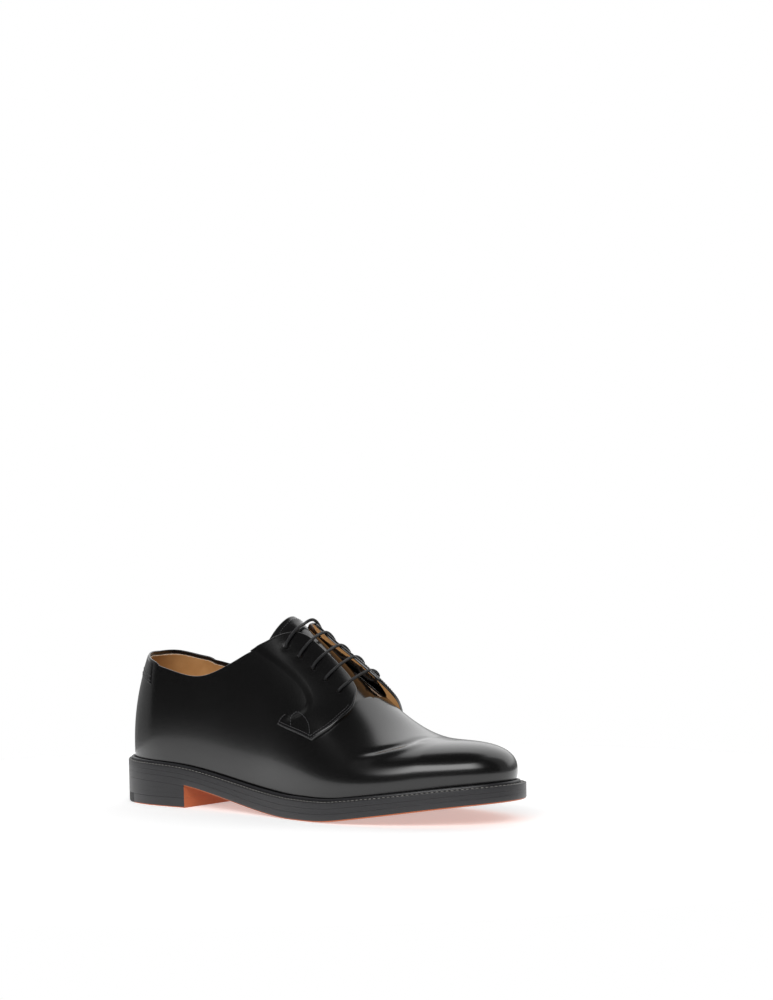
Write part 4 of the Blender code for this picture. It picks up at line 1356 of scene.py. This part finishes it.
def facing_stitches(side):
    tag = "lateral" if side < 0 else "medial"

    def top_of(uv):
        t = np.clip((uv[:, 0] - 0.43) / 0.19, 0, 1)
        return facing_lift(side, uv) + FACING_REAR + (FACING_FRONT - FACING_REAR) * eased(t) - 0.00005

    rows = {
        "front_1": inward(side, FACING_FRONT_EDGE, 0.0015, 0.02, 0.99),
        "front_2": inward(side, FACING_FRONT_EDGE, 0.0031, 0.42, 0.985),
        "top": inward(side, FACING_TOP, 0.0016, 0.30, 0.99, (0.52, 0.70)),
        "foot_1": inward(side, FACING_BOTTOM, 0.0010, 0.02, 0.98, (0.56, 0.40)),
        "foot_2": inward(side, FACING_BOTTOM, 0.0024, 0.04, 0.96, (0.56, 0.40)),
        "tab": path_of(TAB_ARC)(np.linspace(0, 1, 120)),
        "rear": inward(side, FACING_REAR_EDGE, 0.0012, 0.80, 0.99, (0.57, 0.36)),
    }
    for key, uv in rows.items():
        normals = last_normal(side, station_at(uv[:, 0]), uv[:, 1])
        stitch_row(f"facing_{tag}_stitches_{key}", on_last(side, uv, top_of(uv)), normals, UPPER_STITCH)


facing_stitches(-1)
facing_stitches(1)

# %% Stitches of the strap and the tongue
STRAP_ROWS = (0.010, 0.026)


def strap_stitches():
    for k, margin in enumerate(STRAP_ROWS):
        line, normals = [], []
        for a in np.linspace(-0.95, 0.95, 320):
            side, station, foot, _ = strap_outline(a)
            line.append(lifted(side, station, foot + margin, STRAP_SKIN - 0.00006))
            normals.append(last_normal(side, station, foot + margin))
        stitch_row(f"strap_stitches_foot_{k + 1}", np.array(line), np.array(normals), UPPER_STITCH)


strap_stitches()


def tongue_stitches():
    top = TONGUE[0][0] + TONGUE_MARGIN / LENGTH
    inner = 1 - TONGUE_MARGIN / (table(TONGUE)(top + 0.01)[0] * BALL_WIDTH)
    up = np.linspace(0.50, top + 0.010, 30)
    over = np.linspace(-inner, inner, 80)
    corner = 0.010 * np.clip((np.abs(over) - 0.6 * inner) / (0.4 * inner), 0, 1)**2
    shares = np.concatenate([up[:-1], top + corner, up[::-1][1:]])
    across = np.concatenate([np.full(len(up) - 1, -inner), over, np.full(len(up) - 1, inner)])

    def at_depth(depth):
        places = zip(shares, across)
        return np.array([tongue_points(share, np.array([a]), np.array([depth]))[0] for share, a in places])

    line = at_depth(TONGUE_DEPTH - 0.0003)
    normals = (line - at_depth(TONGUE_DEPTH + 0.0007)) / 0.001
    stitch_row("tongue_stitches", line, normals, UPPER_STITCH)


tongue_stitches()

# %% [markdown]
# ## The camera, the floor and the light
# A product studio is a white table under large soft boxes. Black leather shows only what it reflects, so the
# light is placed where its bright bands look: the band along the toe looks up over the camera, and the
# vamp's crest looks back. Lamps would do, but here the room itself shines: a few soft patches of the world
# are bright and the rest is dark, and to the camera the world is plain white.

# %% Camera
CAMERA_AZIMUTH, CAMERA_ELEVATION, CAMERA_ROLL = 38.0, 4.5, -1.0
CAMERA_TARGET = Vector((0.0575, 0.0, 0.058))
CAMERA_DISTANCE = 1.5
FOCAL_PIXELS = 2445.0
IMAGE_HEIGHT = 1000
TARGET_ROW = 721.0
SENSOR = 36


def add_camera():
    a, e, r = (math.radians(x) for x in (CAMERA_AZIMUTH, CAMERA_ELEVATION, CAMERA_ROLL))
    back = Vector((math.sin(a) * math.cos(e), -math.cos(a) * math.cos(e), math.sin(e)))
    right = Vector((math.cos(a), math.sin(a), 0))
    up = back.cross(right)
    turned_right = right * math.cos(r) + up * math.sin(r)
    turned_up = up * math.cos(r) - right * math.sin(r)
    data = bpy.data.cameras.new("camera")
    camera = bpy.data.objects.new("camera", data)
    bpy.context.scene.collection.objects.link(camera)
    data.sensor_width = SENSOR
    data.lens = FOCAL_PIXELS * data.sensor_width / IMAGE_HEIGHT
    data.shift_y = (TARGET_ROW - IMAGE_HEIGHT / 2) / IMAGE_HEIGHT
    place = CAMERA_TARGET + back * CAMERA_DISTANCE
    from_columns = [[turned_right[i], turned_up[i], back[i], place[i]] for i in range(3)] + [[0, 0, 0, 1]]
    camera.matrix_world = Matrix(from_columns)
    bpy.context.scene.camera = camera
    print("the lens is", round(data.lens, 1), "mm")


add_camera()

# %% Floor
FLOOR_RADIUS = 0.45
FLOOR_GLOW = 0.38


def floor():
    f = Finish("white_table", 0.9, base_color=(0.90, 0.90, 0.90), specular_ior_level=0.0,
               emission_color=(1.0, 1.0, 1.0), emission_strength=FLOOR_GLOW)
    turn = np.linspace(0, 2 * math.pi, 129)[:-1]
    mesh = bpy.data.meshes.new("table")
    corners = [(FLOOR_RADIUS * math.cos(a), FLOOR_RADIUS * math.sin(a), 0) for a in turn]
    mesh.from_pydata(corners, [], [range(len(turn))])
    mesh.materials.append(f.material)
    thing = bpy.data.objects.new("table", mesh)
    bpy.context.scene.collection.objects.link(thing)
    print("the table is", round(2 * FLOOR_RADIUS, 2), "m across")


floor()

# %% Light from all round
# name: middle azimuth, half width, soft edge, lowest, highest, soft edge, strength
LIGHTS = {
    "over_camera": (29, 30, 27, 26, 43, 10, 4.6),
    "behind": (-155, 50, 15, 14, 56, 12, 1.0),
    "pale_wall": (-155, 82, 12, -80, 60, 10, 0.22),
}
DARK_ROOM = 0.03


class Studio(Tree):
    def __init__(self):
        world = bpy.data.worlds.new("studio")
        bpy.context.scene.world = world
        world.use_nodes = True
        self.tree = world.node_tree
        way = self.node("ShaderNodeTexCoord", out="Generated")
        apart = {axis: self.node("ShaderNodeSeparateXYZ", {}, {"Vector": way}, out=axis) for axis in "XYZ"}
        self.x, self.y = apart["X"], apart["Y"]
        self.rise = apart["Z"].math("ARCSINE")
        light = DARK_ROOM
        for lamp in LIGHTS.values():
            light = self.lamp(*lamp) + light
        seen = self.node("ShaderNodeLightPath", out="Is Camera Ray")
        self.put(self.tree.nodes["Background"], "Color", self.blend(seen, light, (1.0, 1.0, 1.0)))

    def lamp(self, azimuth, half, soft, low, high, soft_rise, strength):
        c, s = math.cos(math.radians(azimuth)), math.sin(math.radians(azimuth))
        away = (self.x * c + self.y * s).math("ARCTAN2", self.x * s - self.y * c).math("ABSOLUTE")
        half, soft, low, high, soft_rise = (math.radians(v) for v in (half, soft, low, high, soft_rise))
        across = self.step(away, half + soft, half)
        upward = self.step(self.rise, low - soft_rise, low) * self.step(self.rise, high + soft_rise, high)
        return across * upward * strength


Studio()
print("patches of light:", ", ".join(LIGHTS))
bpy.context.scene.view_settings.view_transform = "Standard"
